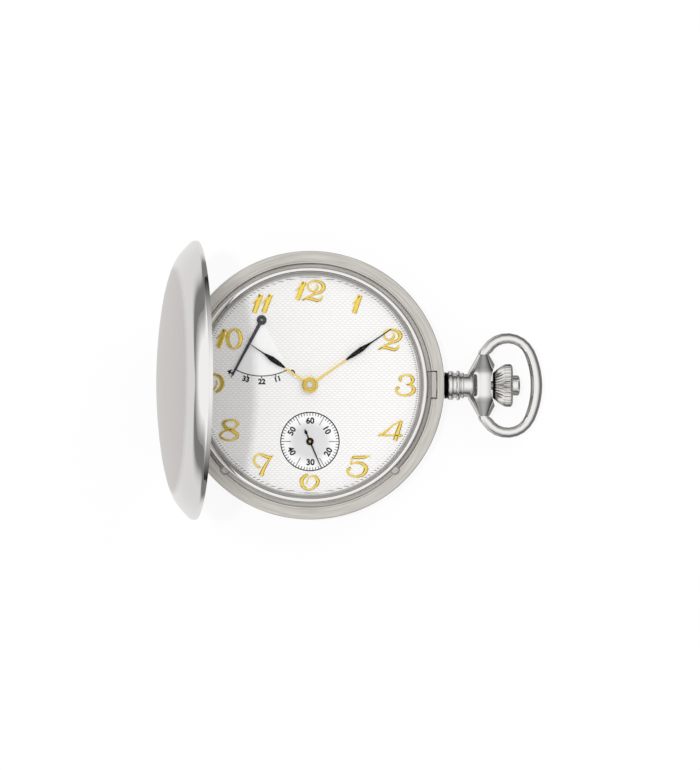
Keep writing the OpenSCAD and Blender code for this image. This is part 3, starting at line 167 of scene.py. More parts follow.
def polished(name, colour, roughness=0.05, wear=0.05):
    """A polished metal: a mirror with hairline marks from handling that blur it a little."""
    material, tree, shader, place = finish(name, colour, 1, roughness)
    stretched = node(tree, "ShaderNodeMapping", {"Vector": place, "Scale": (0.5, 4, 2)})
    marks = node(
        tree, "ShaderNodeTexNoise", {"Vector": stretched.outputs[0], "Scale": 1.5, "Detail": 4}
    )
    spread = node(
        tree,
        "ShaderNodeMapRange",
        {"Value": marks.outputs[0], 1: 0.45, 2: 0.75, 3: roughness, 4: roughness + wear},
    )
    tree.links.new(spread.outputs[0], shader.inputs["Roughness"])
    return material


def painted_shade_root(name, colour, end):
    """A polished metal painted near-black nearer to the case than a given distance: painted shade in
    the groove there.
    """
    material = polished(name, colour, 0.02, 0.02)
    tree = material.node_tree
    shader = tree.nodes["Principled BSDF"]
    place = node(tree, "ShaderNodeTexCoord")
    split = node(tree, "ShaderNodeSeparateXYZ", {0: place.outputs["Object"]})
    root = node(
        tree,
        "ShaderNodeMapRange",
        {"Value": split.outputs[0], 1: end * MM, 2: (end + ROOT_BLEND) * MM},
    )
    # Painted shade: the colour goes to near-black towards the case, standing in for the shade in the
    # groove
    colours = node(
        tree,
        "ShaderNodeMix",
        {0: root.outputs[0], 6: linear("#0d0d0d"), 7: linear(colour)},
        data_type="RGBA",
    )
    tree.links.new(colours.outputs[2], shader.inputs["Base Color"])
    return material


def groove_steel():
    """Spring steel with painted shade: darker down in the groove, lighter where it stands above the
    rim.
    """
    material, tree, shader, place = finish("spring_steel", "#b9b6b1", 1, 0.25)
    split = node(tree, "ShaderNodeSeparateXYZ", {0: place})
    above = node(
        tree, "ShaderNodeMapRange", {"Value": split.outputs[2], 1: RIM_TOP - 0.2, 2: RIM_TOP + 0.05}
    )
    # Painted shade: the colour is darker below the rim top, standing in for the shade in the groove
    colour = node(
        tree,
        "ShaderNodeMix",
        {0: above.outputs[0], 6: linear("#a09d98"), 7: linear("#c2beb8")},
        data_type="RGBA",
    )
    tree.links.new(colour.outputs[2], shader.inputs["Base Color"])
    return material


def turned_satin(name, colour, darker, roughness, pitch=0.12, height=0.012):
    """A metal brushed in circles on the lathe: fine rings that catch the light in a sweep."""
    material, tree, shader, place = finish(name, colour, 1, roughness)
    flat = node(tree, "ShaderNodeMapping", {"Vector": place, "Scale": (1, 1, 0)})
    radius = node(tree, "ShaderNodeVectorMath", {0: flat.outputs[0]}, operation="LENGTH")
    turn = node(
        tree, "ShaderNodeTexGradient", {"Vector": flat.outputs[0]}, gradient_type="RADIAL"
    )
    split = node(tree, "ShaderNodeSeparateXYZ", {0: place})
    polar = node(
        tree, "ShaderNodeCombineXYZ", {0: radius.outputs[1], 1: turn.outputs[1], 2: split.outputs[2]}
    )
    lines = node(tree, "ShaderNodeMapping", {"Vector": polar.outputs[0], "Scale": (1, 8, 1)})
    brushed = node(
        tree,
        "ShaderNodeTexNoise",
        {"Vector": lines.outputs[0], "Scale": 1 / pitch, "Detail": 3, "Roughness": 0.6},
    )
    tint = node(
        tree,
        "ShaderNodeMix",
        {0: brushed.outputs[0], 6: linear(darker), 7: linear(colour)},
        data_type="RGBA",
    )
    tree.links.new(tint.outputs[2], shader.inputs["Base Color"])
    relief = node(
        tree,
        "ShaderNodeBump",
        {"Height": brushed.outputs[0], "Distance": height * MM, "Strength": 0.6},
    )
    tree.links.new(relief.outputs[0], shader.inputs["Normal"])
    return material


def lid_finish():
    """The lid: a satin dome brushed from hinge to edge, with a mirror-polished flank round it."""
    material, tree, shader, place = finish("satin_and_polished_steel", "#d6d2ce", 1, 0.3)
    turn = Euler((0, -LID_OPEN, 0)).to_matrix()
    shift = HINGE - turn @ HINGE
    closed = node(
        tree,
        "ShaderNodeMapping",
        {"Vector": place, "Location": shift, "Rotation": (0, -LID_OPEN, 0)},
        vector_type="TEXTURE",
    )
    flat = node(tree, "ShaderNodeMapping", {"Vector": closed.outputs[0], "Scale": (1, 1, 0)})
    radius = node(tree, "ShaderNodeVectorMath", {0: flat.outputs[0]}, operation="LENGTH")
    flank = node(
        tree, "ShaderNodeMapRange", {"Value": radius.outputs[1], 1: LID_SATIN, 2: LID_POLISH}
    )
    lines = node(tree, "ShaderNodeMapping", {"Vector": closed.outputs[0], "Scale": (6, 0.12, 1)})
    brushed = node(
        tree, "ShaderNodeTexNoise", {"Vector": lines.outputs[0], "Scale": 1, "Detail": 4}
    )
    satin = node(
        tree,
        "ShaderNodeMix",
        {0: brushed.outputs[0], 6: linear("#d8d3cf"), 7: linear("#e6e2df")},
        data_type="RGBA",
    )
    colour = node(
        tree,
        "ShaderNodeMix",
        {0: flank.outputs[0], 6: satin.outputs[2], 7: linear("#f0eeec")},
        data_type="RGBA",
    )
    rough = node(tree, "ShaderNodeMapRange", {"Value": flank.outputs[0], 3: 0.32, 4: 0.03})
    relief = node(tree, "ShaderNodeMapRange", {"Value": flank.outputs[0], 3: 0.35, 4: 0.0})
    bump = node(
        tree,
        "ShaderNodeBump",
        {"Height": brushed.outputs[0], "Distance": 0.01 * MM, "Strength": relief.outputs[0]},
    )
    tree.links.new(colour.outputs[2], shader.inputs["Base Color"])
    tree.links.new(rough.outputs[0], shader.inputs["Roughness"])
    tree.links.new(bump.outputs[0], shader.inputs["Normal"])
    return material


def dial_finish():
    """A silvered dial: rows of engine-turned waves, with a plain sector and a snailed small dial."""
    material, tree, shader, place = finish("silvered_dial", "#fbfbfa", 0.0, 0.35)
    split = node(tree, "ShaderNodeSeparateXYZ", {0: place})
    across = split.outputs[0]
    along = split.outputs[1]
    row = node(tree, "ShaderNodeMath", {0: along, 1: WAVE_ROW}, operation="DIVIDE")
    whole = node(tree, "ShaderNodeMath", {0: row.outputs[0]}, operation="ROUND")
    half_turn = node(tree, "ShaderNodeMath", {0: whole.outputs[0], 1: math.pi}, operation="MULTIPLY")
    phase = node(
        tree,
        "ShaderNodeMath",
        {0: across, 1: TAU / WAVE_PERIOD, 2: half_turn.outputs[0]},
        operation="MULTIPLY_ADD",
    )
    wave = node(tree, "ShaderNodeMath", {0: phase.outputs[0]}, operation="SINE")
    from_row = node(
        tree, "ShaderNodeMath", {0: row.outputs[0], 1: whole.outputs[0]}, operation="SUBTRACT"
    )
    off_line = node(
        tree,
        "ShaderNodeMath",
        {0: wave.outputs[0], 1: -WAVE_SWING / WAVE_ROW, 2: from_row.outputs[0]},
        operation="MULTIPLY_ADD",
    )
    distance = node(tree, "ShaderNodeMath", {0: off_line.outputs[0]}, operation="ABSOLUTE")
    groove = node(
        tree,
        "ShaderNodeMapRange",
        {"Value": distance.outputs[0], 1: WAVE_WALL[0], 2: WAVE_WALL[1], 3: 1, 4: 0},
        interpolation_type="SMOOTHSTEP",
    )
    # Where the waves are: inside the edge, outside the small dial and outside the sector
    flat = node(tree, "ShaderNodeMapping", {"Vector": place, "Scale": (1, 1, 0)})
    radius = node(tree, "ShaderNodeVectorMath", {0: flat.outputs[0]}, operation="LENGTH")
    inside = node(
        tree,
        "ShaderNodeMath",
        {0: radius.outputs[1], 1: DIAL_EDGE - WAVE_MARGIN},
        operation="LESS_THAN",
    )
    from_seconds = node(
        tree,
        "ShaderNodeMapping",
        {"Vector": flat.outputs[0], "Location": -SECONDS_AT},
    )
    seconds_radius = node(
        tree, "ShaderNodeVectorMath", {0: from_seconds.outputs[0]}, operation="LENGTH"
    )
    off_seconds = node(
        tree,
        "ShaderNodeMath",
        {0: seconds_radius.outputs[1], 1: SECONDS_RADIUS + SECONDS_MARGIN},
        operation="GREATER_THAN",
    )
    from_reserve = node(
        tree,
        "ShaderNodeMapping",
        {"Vector": flat.outputs[0], "Location": -RESERVE_AT},
    )
    reserve_radius = node(
        tree, "ShaderNodeVectorMath", {0: from_reserve.outputs[0]}, operation="LENGTH"
    )
    heading = node(
        tree,
        "ShaderNodeVectorMath",
        {0: from_reserve.outputs[0]},
        operation="NORMALIZE",
    )
    facing = node(
        tree,
        "ShaderNodeVectorMath",
        {0: heading.outputs[0], 1: (0, -1, 0)},
        operation="DOT_PRODUCT",
    )
    in_angle = node(
        tree,
        "ShaderNodeMath",
        {0: facing.outputs[1], 1: math.cos(math.radians(RESERVE_HALF))},
        operation="GREATER_THAN",
    )
    in_reach = node(
        tree,
        "ShaderNodeMath",
        {0: reserve_radius.outputs[1], 1: RESERVE_RADIUS},
        operation="LESS_THAN",
    )
    sector = node(
        tree, "ShaderNodeMath", {0: in_angle.outputs[0], 1: in_reach.outputs[0]}, operation="MULTIPLY"
    )
    off_sector = node(tree, "ShaderNodeMath", {0: 1.0, 1: sector.outputs[0]}, operation="SUBTRACT")
    in_both = node(
        tree, "ShaderNodeMath", {0: inside.outputs[0], 1: off_seconds.outputs[0]}, operation="MULTIPLY"
    )
    wavy = node(
        tree, "ShaderNodeMath", {0: in_both.outputs[0], 1: off_sector.outputs[0]}, operation="MULTIPLY"
    )
    cut = node(
        tree, "ShaderNodeMath", {0: groove.outputs[0], 1: wavy.outputs[0]}, operation="MULTIPLY"
    )
    # Each row ends at the dial's edge in a short nick, drawn as painted shade: a grey mark with no
    # relief
    at_edge = node(
        tree,
        "ShaderNodeMath",
        {0: radius.outputs[1], 1: DIAL_EDGE - NICK_IN, 2: NICK_HALF},
        operation="COMPARE",
    )
    on_row = node(
        tree,
        "ShaderNodeMath",
        {0: from_row.outputs[0], 1: 0.0, 2: NICK_ROW},
        operation="COMPARE",
    )
    nick_shade_mask = node(
        tree, "ShaderNodeMath", {0: at_edge.outputs[0], 1: on_row.outputs[0]}, operation="MULTIPLY"
    )
    # The small dial is snailed: fine rings, silver at its centre
    in_seconds = node(
        tree,
        "ShaderNodeMapRange",
        {"Value": seconds_radius.outputs[1], 1: SNAIL_FADE[0], 2: SNAIL_FADE[1], 3: 1, 4: 0},
        interpolation_type="SMOOTHSTEP",
    )
    rings = node(
        tree,
        "ShaderNodeTexWave",
        {"Vector": from_seconds.outputs[0], "Scale": TEXTURE_WAVE / SNAIL_PITCH, "Distortion": 0},
        wave_type="RINGS",
        rings_direction="Z",
    )
    snail = node(
        tree, "ShaderNodeMath", {0: rings.outputs[1], 1: in_seconds.outputs[0]}, operation="MULTIPLY"
    )
    # Painted shade: the wave grooves are coloured a darker grey, on top of the relief that the bump
    # gives them
    shade = node(
        tree,
        "ShaderNodeMix",
        {0: cut.outputs[0], 6: linear("#fdfdfd"), 7: linear("#e9e7e5")},
        data_type="RGBA",
    )
    snailed = node(
        tree,
        "ShaderNodeMix",
        {0: in_seconds.outputs[0], 6: shade.outputs[2], 7: linear("#e9e9e9")},
        data_type="RGBA",
    )
    # Painted shade: grey where each row's nick is
    nick_shaded = node(
        tree,
        "ShaderNodeMix",
        {0: nick_shade_mask.outputs[0], 6: snailed.outputs[2], 7: linear("#8b8a88")},
        data_type="RGBA",
    )
    depth = node(
        tree,
        "ShaderNodeMath",
        {0: snail.outputs[0], 1: -0.25, 2: cut.outputs[0]},
        operation="MULTIPLY_ADD",
    )
    relief = node(
        tree,
        "ShaderNodeBump",
        {"Height": depth.outputs[0], "Distance": 0.03 * MM, "Strength": 0.4},
        invert=True,
    )
    silver = node(tree, "ShaderNodeMapRange", {"Value": in_seconds.outputs[0], 3: 0.1, 4: 0.8})
    tree.links.new(nick_shaded.outputs[2], shader.inputs["Base Color"])
    tree.links.new(silver.outputs[0], shader.inputs["Metallic"])
    tree.links.new(relief.outputs[0], shader.inputs["Normal"])
    return material


def hand_finish(name, change):
    """A gilt hand with a black-lacquered leaf and needle from a given distance outwards."""
    material, tree, shader, place = finish(name, "#f2d36b", 1, 0.22)
    shader.inputs["Specular IOR Level"].default_value = 0.1
    flat = node(tree, "ShaderNodeMapping", {"Vector": place, "Scale": (1, 1, 0)})
    radius = node(tree, "ShaderNodeVectorMath", {0: flat.outputs[0]}, operation="LENGTH")
    lacquer = node(
        tree, "ShaderNodeMapRange", {"Value": radius.outputs[1], 1: change, 2: change + LEAF_EDGE}
    )
    colour = node(
        tree,
        "ShaderNodeMix",
        {0: lacquer.outputs[0], 6: linear("#f2d36b"), 7: linear("#060607")},
        data_type="RGBA",
    )
    metal = node(tree, "ShaderNodeMapRange", {"Value": lacquer.outputs[0], 3: 1, 4: 0})
    tree.links.new(colour.outputs[2], shader.inputs["Base Color"])
    tree.links.new(metal.outputs[0], shader.inputs["Metallic"])
    return material


def coated(name, colour, darker, metallic, roughness, grain=6.0, height=0.004):
    """A finish with fine cloudy grain in its colour and surface."""
    material, tree, shader, place = finish(name, colour, metallic, roughness)
    cloud = node(tree, "ShaderNodeTexNoise", {"Vector": place, "Scale": grain, "Detail": 5})
    tint = node(
        tree,
        "ShaderNodeMix",
        {0: cloud.outputs[0], 6: linear(darker), 7: linear(colour)},
        data_type="RGBA",
    )
    relief = node(
        tree,
        "ShaderNodeBump",
        {"Height": cloud.outputs[0], "Distance": height * MM, "Strength": 0.5},
    )
    tree.links.new(tint.outputs[2], shader.inputs["Base Color"])
    tree.links.new(relief.outputs[0], shader.inputs["Normal"])
    return material


def striped_plate():
    """Nickelled brass with broad parallel stripes ground across it, 1.2 mm apart."""
    material, tree, shader, place = finish("nickelled_striped_plate", "#c9cacb", 1, 0.28)
    across = node(
        tree, "ShaderNodeMapping", {"Vector": place, "Rotation": (0, 0, STRIPE_TURN)}
    )
    bands = node(
        tree,
        "ShaderNodeTexWave",
        {"Vector": across.outputs[0], "Scale": TEXTURE_WAVE / STRIPE_PITCH, "Distortion": 0},
        wave_profile="SAW",
    )
    tint = node(
        tree,
        "ShaderNodeMix",
        {0: bands.outputs[1], 6: linear("#b3b5b7"), 7: linear("#dcdddd")},
        data_type="RGBA",
    )
    relief = node(
        tree,
        "ShaderNodeBump",
        {"Height": bands.outputs[1], "Distance": 0.02 * MM, "Strength": 0.6},
    )
    tree.links.new(tint.outputs[2], shader.inputs["Base Color"])
    tree.links.new(relief.outputs[0], shader.inputs["Normal"])
    return material


def clear_glass():
    """A coated mineral crystal: clear, with only a trace of a mirror on its face."""
    material, tree, shader, _ = finish("mineral_crystal", "#ffffff", 0, 0.0)
    shader.inputs["IOR"].default_value = 1.5
    shader.inputs["Specular IOR Level"].default_value = 0.1
    shader.inputs["Transmission Weight"].default_value = 1.0
    rays = node(tree, "ShaderNodeLightPath")
    lit = node(
        tree,
        "ShaderNodeMath",
        {0: rays.outputs["Is Shadow Ray"], 1: rays.outputs["Is Diffuse Ray"]},
        operation="MAXIMUM",
    )
    coating = node(
        tree, "ShaderNodeMath", {0: lit.outputs[0], 1: CRYSTAL_CLEAR}, operation="MAXIMUM"
    )
    clear = node(tree, "ShaderNodeBsdfTransparent")
    mix = node(
        tree,
        "ShaderNodeMixShader",
        {0: coating.outputs[0], 1: shader.outputs[0], 2: clear.outputs[0]},
    )
    tree.links.new(mix.outputs[0], tree.nodes["Material Output"].inputs["Surface"])
    return material


# Steel brushed in circles on a lathe: soft pale grey with fine streaks round it, drawn coarser
# than the real ones so that they show
satin_steel = turned_satin("circular_brushed_steel", "#eae6e1", "#a8a49d", 0.3, 0.36)
# Steel polished to a mirror: white where it faces light, with hard dark lines
mirror_steel = polished("polished_steel", "#efeeec", 0.02, 0.02)
# The same steel, with painted shade: black in the groove where the pendant meets the case and the
# crown its pendant
pendant_steel = painted_shade_root("polished_pendant_steel", "#efeeec", PENDANT_FOOT)
crown_steel = painted_shade_root("polished_crown_steel", "#e6e4e0", CROWN_ROOT)
lid_steel = lid_finish()
silver_dial = dial_finish()
# The dial's flange ring: silvered and turned, greyer than the dial
flange_silver = turned_satin("turned_silver_flange", "#cfcdca", "#bab7b3", 0.3, 0.05)
flange_silver.node_tree.nodes["Principled BSDF"].inputs["Metallic"].default_value = 0.3
hour_gilt = hand_finish("gilt_and_black_hour_hand", HOUR_LEAF)
minute_gilt = hand_finish("gilt_and_black_minute_hand", MINUTE_LEAF)
# Black-lacquered steel: a thin hand with a soft shine
black_hand = coated("black_lacquered_steel", "#0b0b0c", "#060607", 0, 0.35)
black_hand.node_tree.nodes["Principled BSDF"].inputs["Specular IOR Level"].default_value = 0.1
# Oxidised steel: the dark grey of the power reserve hand
grey_hand = coated("grey_oxidised_steel", "#4a4b4e", "#3c3d40", 0.6, 0.4)
# Brass with a thin gilding: warm, a little cloudy
gilt_brass = coated("gilt_brass", "#d9b467", "#c69f52", 1, 0.25)
# Applied figures in polished gilt: a warm yellow that darkens where they turn away
gilt_figure = polished("gilt_figures", "#f6d862", 0.14, 0.08)
# Printing ink on the dial: matt black
ink = coated("dial_ink", "#0b0b0b", "#060606", 0, 0.7)
ink.node_tree.nodes["Principled BSDF"].inputs["Specular IOR Level"].default_value = 0.1
# The same ink, thinned to a grey line
grey_ink = coated("grey_dial_ink", "#5f5f63", "#525256", 0, 0.7)
# Steel wheels and levers: ground flat, fine grain
ground_steel = coated("ground_steel", "#b9bbbd", "#a3a5a8", 1, 0.3, 20)
spring_steel = groove_steel()
# Screws heated until they turn blue
blued_steel = polished("heat_blued_steel", "#24376f", 0.12, 0.06)
plate_nickel = striped_plate()
# Synthetic ruby: deep red, clear and shiny
ruby = coated("synthetic_ruby", "#a8173f", "#8c0f33", 0, 0.05)
ruby.node_tree.nodes["Principled BSDF"].inputs["Transmission Weight"].default_value = 0.35
# Moulded nylon: the crystal's gasket, a dull grey line round the glass
nylon = coated("moulded_nylon", "#a5a29e", "#95928e", 0, 0.6)
glass = clear_glass()

FINISHES = {
    "case_band": satin_steel,
    "back_cover": satin_steel,
    "front_cover": lid_steel,
    "hinge_pin": mirror_steel,
    "bezel": mirror_steel,
    "crystal": glass,
    "crystal_gasket": nylon,
    "rehaut": flange_silver,
    "lock_spring": spring_steel,
    "lift_spring": spring_steel,
    "spring_screws": satin_steel,
    "pendant": pendant_steel,
    "pendant_tube": mirror_steel,
    "bow": mirror_steel,
    "crown": crown_steel,
    "crown_button": mirror_steel,
    "button_spring": spring_steel,
    "push_collar": ground_steel,
    "winding_stem": ground_steel,
    "casing_ring": gilt_brass,
    "casing_screws": blued_steel,
    "main_plate": plate_nickel,
    "barrel_bridge": plate_nickel,
    "train_bridge": plate_nickel,
    "balance_cock": plate_nickel,
    "pallet_bridge": plate_nickel,
    "bridge_screws": blued_steel,
    "jewels": ruby,
    "barrel_drum": gilt_brass,
    "barrel_cover": gilt_brass,
    "mainspring": spring_steel,
    "barrel_arbor": ground_steel,
    "ratchet_wheel": ground_steel,
    "ratchet_screw": blued_steel,
    "crown_wheel": ground_steel,
    "crown_wheel_screw": blued_steel,
    "click": ground_steel,
    "click_spring": spring_steel,
    "winding_pinion": ground_steel,
    "sliding_clutch": ground_steel,
    "setting_lever": ground_steel,
    "yoke": ground_steel,
    "centre_wheel": gilt_brass,
    "third_wheel": gilt_brass,
    "fourth_wheel": gilt_brass,
    "escape_wheel": ground_steel,
    "pallet_fork": ground_steel,
    "balance_wheel": gilt_brass,
    "hairspring": blued_steel,
    "regulator": ground_steel,
    "cannon_pinion": ground_steel,
    "minute_wheel": gilt_brass,
    "hour_wheel": gilt_brass,
    "dial": silver_dial,
    "hour_hand": hour_gilt,
    "minute_hand": minute_gilt,
    "seconds_hand": black_hand,
    "reserve_hand": grey_hand,
    "reserve_wheel": gilt_brass,
}
for name, material in FINISHES.items():
    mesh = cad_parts[name].data
    mesh.materials.clear()
    mesh.materials.append(material)


def piece(name, mesh, body, material):
    """Puts a finished mesh in the scene as a piece that moves with a body."""
    made = bpy.data.objects.new(name, mesh)
    bpy.context.scene.collection.objects.link(made)
    if material:
        mesh.materials.clear()
        mesh.materials.append(material)
    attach(made, body)
    return made


def raise_shoulder(work):
    """Rounds the lid's outer face out to a soft shoulder, where its satin dome ends."""
    start, end = LID_SHOULDER
    to_open = Euler((0, -LID_OPEN, 0)).to_matrix()
    to_closed = to_open.inverted()
    work.normal_update()
    lifted = []
    for vert in work.verts:
        closed = to_closed @ (vert.co / MM - HINGE) + HINGE
        radius = math.hypot(closed.x, closed.y)
        outer = closed.z > HINGE.z + LID_LIP and (to_closed @ vert.normal).z > LID_UPWARD
        if outer and start < radius < end:
            share = math.sin(math.pi * ((radius - start) / (end - start)) ** 2) ** 2
            lifted.append((vert, to_open @ Vector((0, 0, LID_RAISE * share * MM))))
    for vert, lift in lifted:
        vert.co += lift


def smooth_skin(node_name, body, slot, angle=28, change=None):
    """A copy of a CAD node with its triangles joined, so that its curved faces shine evenly."""
    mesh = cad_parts[node_name].data.copy()
    mesh.name = node_name + "_finish"
    work = bmesh.new()
    work.from_mesh(mesh)
    bmesh.ops.remove_doubles(work, verts=work.verts, dist=WELD)
    bmesh.ops.dissolve_degenerate(work, edges=work.edges, dist=WELD / 2)
    if change:
        change(work)
    for face in work.faces:
        face.smooth = True
    work.to_mesh(mesh)
    work.free()
    if "custom_normal" in mesh.attributes:
        mesh.attributes.remove(mesh.attributes["custom_normal"])
    mesh.set_sharp_from_angle(angle=math.radians(angle))
    made = piece(node_name + "_finish", mesh, body, FINISHES[node_name])
    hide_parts(node_name)
    return made


for skin in (
    ("case_band", "case", "satin_case"),
    ("back_cover", "case", "satin_case"),
    ("front_cover", "front_cover", "satin_case", 28, raise_shoulder),
    ("bezel", "case", "polished_case"),
    ("crystal", "case", "glass"),
    ("rehaut", "case", "flange_silver"),
    ("pendant", "case", "polished_case"),
    ("bow", "bow", "polished_case"),
    ("crown", "crown", "polished_case"),
    ("crown_button", "crown_button", "polished_case"),
):
    smooth_skin(*skin)


def mesh_of(points, faces, name):
    """A mesh from points in millimetres, with its faces turned outwards."""
    mesh = bpy.data.meshes.new(name)
    mesh.from_pydata([Vector(p) * MM for p in points], [], faces)
    work = bmesh.new()
    work.from_mesh(mesh)
    bmesh.ops.remove_doubles(work, verts=work.verts, dist=SAME_POINT)
    bmesh.ops.recalc_face_normals(work, faces=work.faces)
    work.to_mesh(mesh)
    work.free()
    return mesh


def turned_piece(name, profile, centre, foot, steps, body, material):
    """A ring or disc turned on a lathe, from a closed profile of (radius, height over its foot)."""
    points = []
    faces = []
    count = len(profile)
    for i in range(steps):
        a = TAU * i / steps
        for radius, height in profile:
            points.append(
                (centre.x + radius * math.cos(a), centre.y + radius * math.sin(a), foot + height)
            )
        for j in range(count):
            k = (j + 1) % count
            n = (i + 1) % steps
            faces.append((i * count + j, n * count + j, n * count + k, i * count + k))
    return piece(name, mesh_of(points, faces, name), body, material)


def smooth_line(points, steps=8):
    """Points (x, y, width) rounded into a smooth line through them."""
    line = []
    last = len(points) - 1
    for i in range(last):
        p = [Vector(points[max(0, min(last, i + k))]) for k in (-1, 0, 1, 2)]
        for s in range(steps):
            t = s / steps
            line.append(
                0.5
                * (
                    2 * p[1]
                    + (p[2] - p[0]) * t
                    + (2 * p[0] - 5 * p[1] + 4 * p[2] - p[3]) * t * t
                    + (3 * p[1] - p[0] - 3 * p[2] + p[3]) * t * t * t
                )
            )
    return line + [Vector(points[last])]


# A figure's cross-section, as (share of half its width, share of its height)
FACET = ((-1, 0), (-1, 0.55), (-0.55, 1), (0.55, 1), (1, 0.55), (1, 0))


def stroke(line, z, height):
    """One raised stroke along a line of (x, y, width) points, flat below and chamfered above."""
    points = []
    faces = []
    count = len(FACET)
    for i, p in enumerate(line):
        ahead = line[min(i + 1, len(line) - 1)]
        behind = line[max(i - 1, 0)]
        along = Vector((ahead.x - behind.x, ahead.y - behind.y)).normalized()
        side = Vector((-along.y, along.x))
        for share, lift in FACET:
            points.append(
                (p.x + side.x * share * p.z / 2, p.y + side.y * share * p.z / 2, z + lift * height)
            )
        if i:
            for j in range(count):
                k = (j + 1) % count
                faces.append(
                    ((i - 1) * count + j, (i - 1) * count + k, i * count + k, i * count + j)
                )
    faces.append(tuple(range(count)))
    faces.append(tuple(range(len(points) - 1, len(points) - 1 - count, -1)))
    return points, faces


# The figures as pen strokes of (x, y, width) points, y downwards, in units of the pen's own sheet
FIGURES = {
    "0": [
        [(315, 48, 15), (230, 105, 34), (200, 210, 46), (235, 310, 34), (315, 352, 15),
         (400, 300, 34), (430, 200, 46), (395, 95, 34), (315, 48, 15)],
    ],
    "1": [
        [(202, 45, 64), (150, 190, 70), (98, 345, 66)],
        [(72, 195, 8), (130, 130, 14), (190, 55, 24)],
    ],
    "2": [
        [(262, 100, 10), (285, 135, 18), (262, 185, 24), (205, 208, 20), (140, 165, 18),
         (145, 90, 18), (235, 50, 20), (335, 75, 34), (378, 145, 50), (335, 215, 34),
         (240, 250, 24), (130, 300, 20), (45, 352, 12)],
        [(52, 348, 10), (120, 322, 26), (200, 332, 34), (285, 352, 34), (340, 325, 22),
         (358, 280, 8)],
    ],
    "3": [
        [(158, 132, 30), (132, 112, 34), (150, 68, 22), (220, 48, 16), (305, 62, 28),
         (340, 120, 46), (300, 175, 24), (240, 190, 12)],
        [(240, 188, 12), (320, 205, 26), (358, 268, 48), (305, 330, 34), (205, 350, 20),
         (110, 325, 20), (68, 270, 22), (100, 240, 34), (118, 252, 26)],
    ],
    "4": [
        [(392, 50, 26), (345, 190, 52), (290, 355, 52)],
        [(385, 52, 12), (262, 125, 18), (135, 235, 24), (42, 278, 10)],
        [(42, 280, 14), (160, 278, 18), (285, 280, 18), (375, 280, 30), (405, 268, 10)],
    ],
    "5": [
        [(135, 62, 22), (210, 66, 38), (310, 62, 30), (402, 46, 8)],
        [(140, 55, 14), (128, 110, 14), (112, 172, 12)],
        [(112, 170, 10), (200, 145, 20), (290, 165, 36), (340, 235, 52), (290, 325, 38),
         (180, 352, 20), (90, 318, 22), (62, 268, 22), (92, 235, 34), (112, 245, 26)],
    ],
    "6": [
        [(172, 42, 20), (105, 80, 38), (66, 140, 46), (82, 215, 40), (145, 268, 24),
         (215, 276, 18), (305, 215, 34), (330, 150, 46), (295, 82, 30), (238, 66, 14),
         (180, 100, 10), (155, 160, 8), (160, 195, 6)],
    ],
    "7": [
        [(172, 242, 12), (150, 246, 24), (98, 212, 18), (72, 150, 22), (98, 85, 18),
         (155, 58, 18), (225, 78, 34), (300, 104, 32), (372, 78, 8)],
        [(352, 88, 14), (292, 165, 26), (232, 260, 38), (180, 375, 56)],
    ],
    "8": [
        [(200, 52, 14), (120, 72, 30), (92, 115, 38), (135, 175, 40), (225, 222, 42),
         (300, 285, 36), (262, 348, 22), (170, 366, 16), (70, 335, 24), (44, 285, 26),
         (95, 228, 18), (190, 205, 14), (270, 165, 20), (305, 112, 26), (270, 68, 20),
         (200, 52, 14)],
    ],
}
FIGURES["9"] = [[(400 - x, 320 - y, w) for x, y, w in s] for s in FIGURES["6"]]

# Where each figure stands in the photograph, in pixels: left, right, top, bottom
NUMERALS = [
    ("1", 295.5, 307.0, 280.3, 300.8),
    ("2", 302.0, 325.8, 280.3, 301.0),
    ("1", 352.5, 362.7, 293.7, 314.2),
    ("2", 378.3, 402.5, 329.0, 350.3),
    ("3", 395.8, 415.8, 374.7, 395.8),
    ("4", 378.3, 403.3, 420.0, 441.3),
    ("5", 347.0, 371.0, 455.8, 476.8),
    ("6", 300.5, 319.7, 473.7, 490.0),
    ("7", 253.8, 274.0, 453.7, 476.7),
    ("8", 219.7, 239.2, 419.5, 440.5),
    ("9", 204.8, 224.2, 373.7, 392.5),
    ("1", 216.3, 227.5, 328.0, 348.7),
    ("0", 226.7, 242.5, 328.0, 348.7),
    ("1", 252.5, 263.5, 293.0, 313.7),
    ("1", 261.7, 273.3, 293.0, 313.7),
]


def on_dial(px, py):
    """The place on the dial that a pixel of the photograph shows."""
    return (px - HUB_PIXEL[0]) * PIXEL, (HUB_PIXEL[1] - py) * PIXEL


def figure_strokes(digit, left, right, top, bottom):
    """A figure's strokes, scaled so that its inked edges fill its place on the dial."""
    lines = [smooth_line(s) for s in FIGURES[digit]]
    every = [p for line in lines for p in line]
    # A slanted stroke reaches half its width to either side, and a third of it up and down
    x0 = min(p.x - p.z / 2 for p in every)
    x1 = max(p.x + p.z / 2 for p in every)
    y0 = min(p.y - p.z / 3 for p in every)
    y1 = max(p.y + p.z / 3 for p in every)
    placed = []
    for line in lines:
        path = []
        for p in line:
            x, y = on_dial(
                left + (right - left) * (p.x - x0) / (x1 - x0),
                top + (bottom - top) * (p.y - y0) / (y1 - y0),
            )
            width = (PEN_LEAST + p.z * PEN_WEIGHT) * PIXEL * (bottom - top) / (y1 - y0)
            path.append(Vector((x, y, width)))
        placed.append(path)
    return placed


points = []
faces = []
for digit, left, right, top, bottom in NUMERALS:
    for path in figure_strokes(digit, left, right, top, bottom):
        more, sides = stroke(path, DIAL_TOP, FIGURE_HEIGHT)
        faces += [tuple(len(points) + i for i in side) for side in sides]
        points += more
piece("hour_numerals", mesh_of(points, faces, "hour_numerals"), "case", gilt_figure)


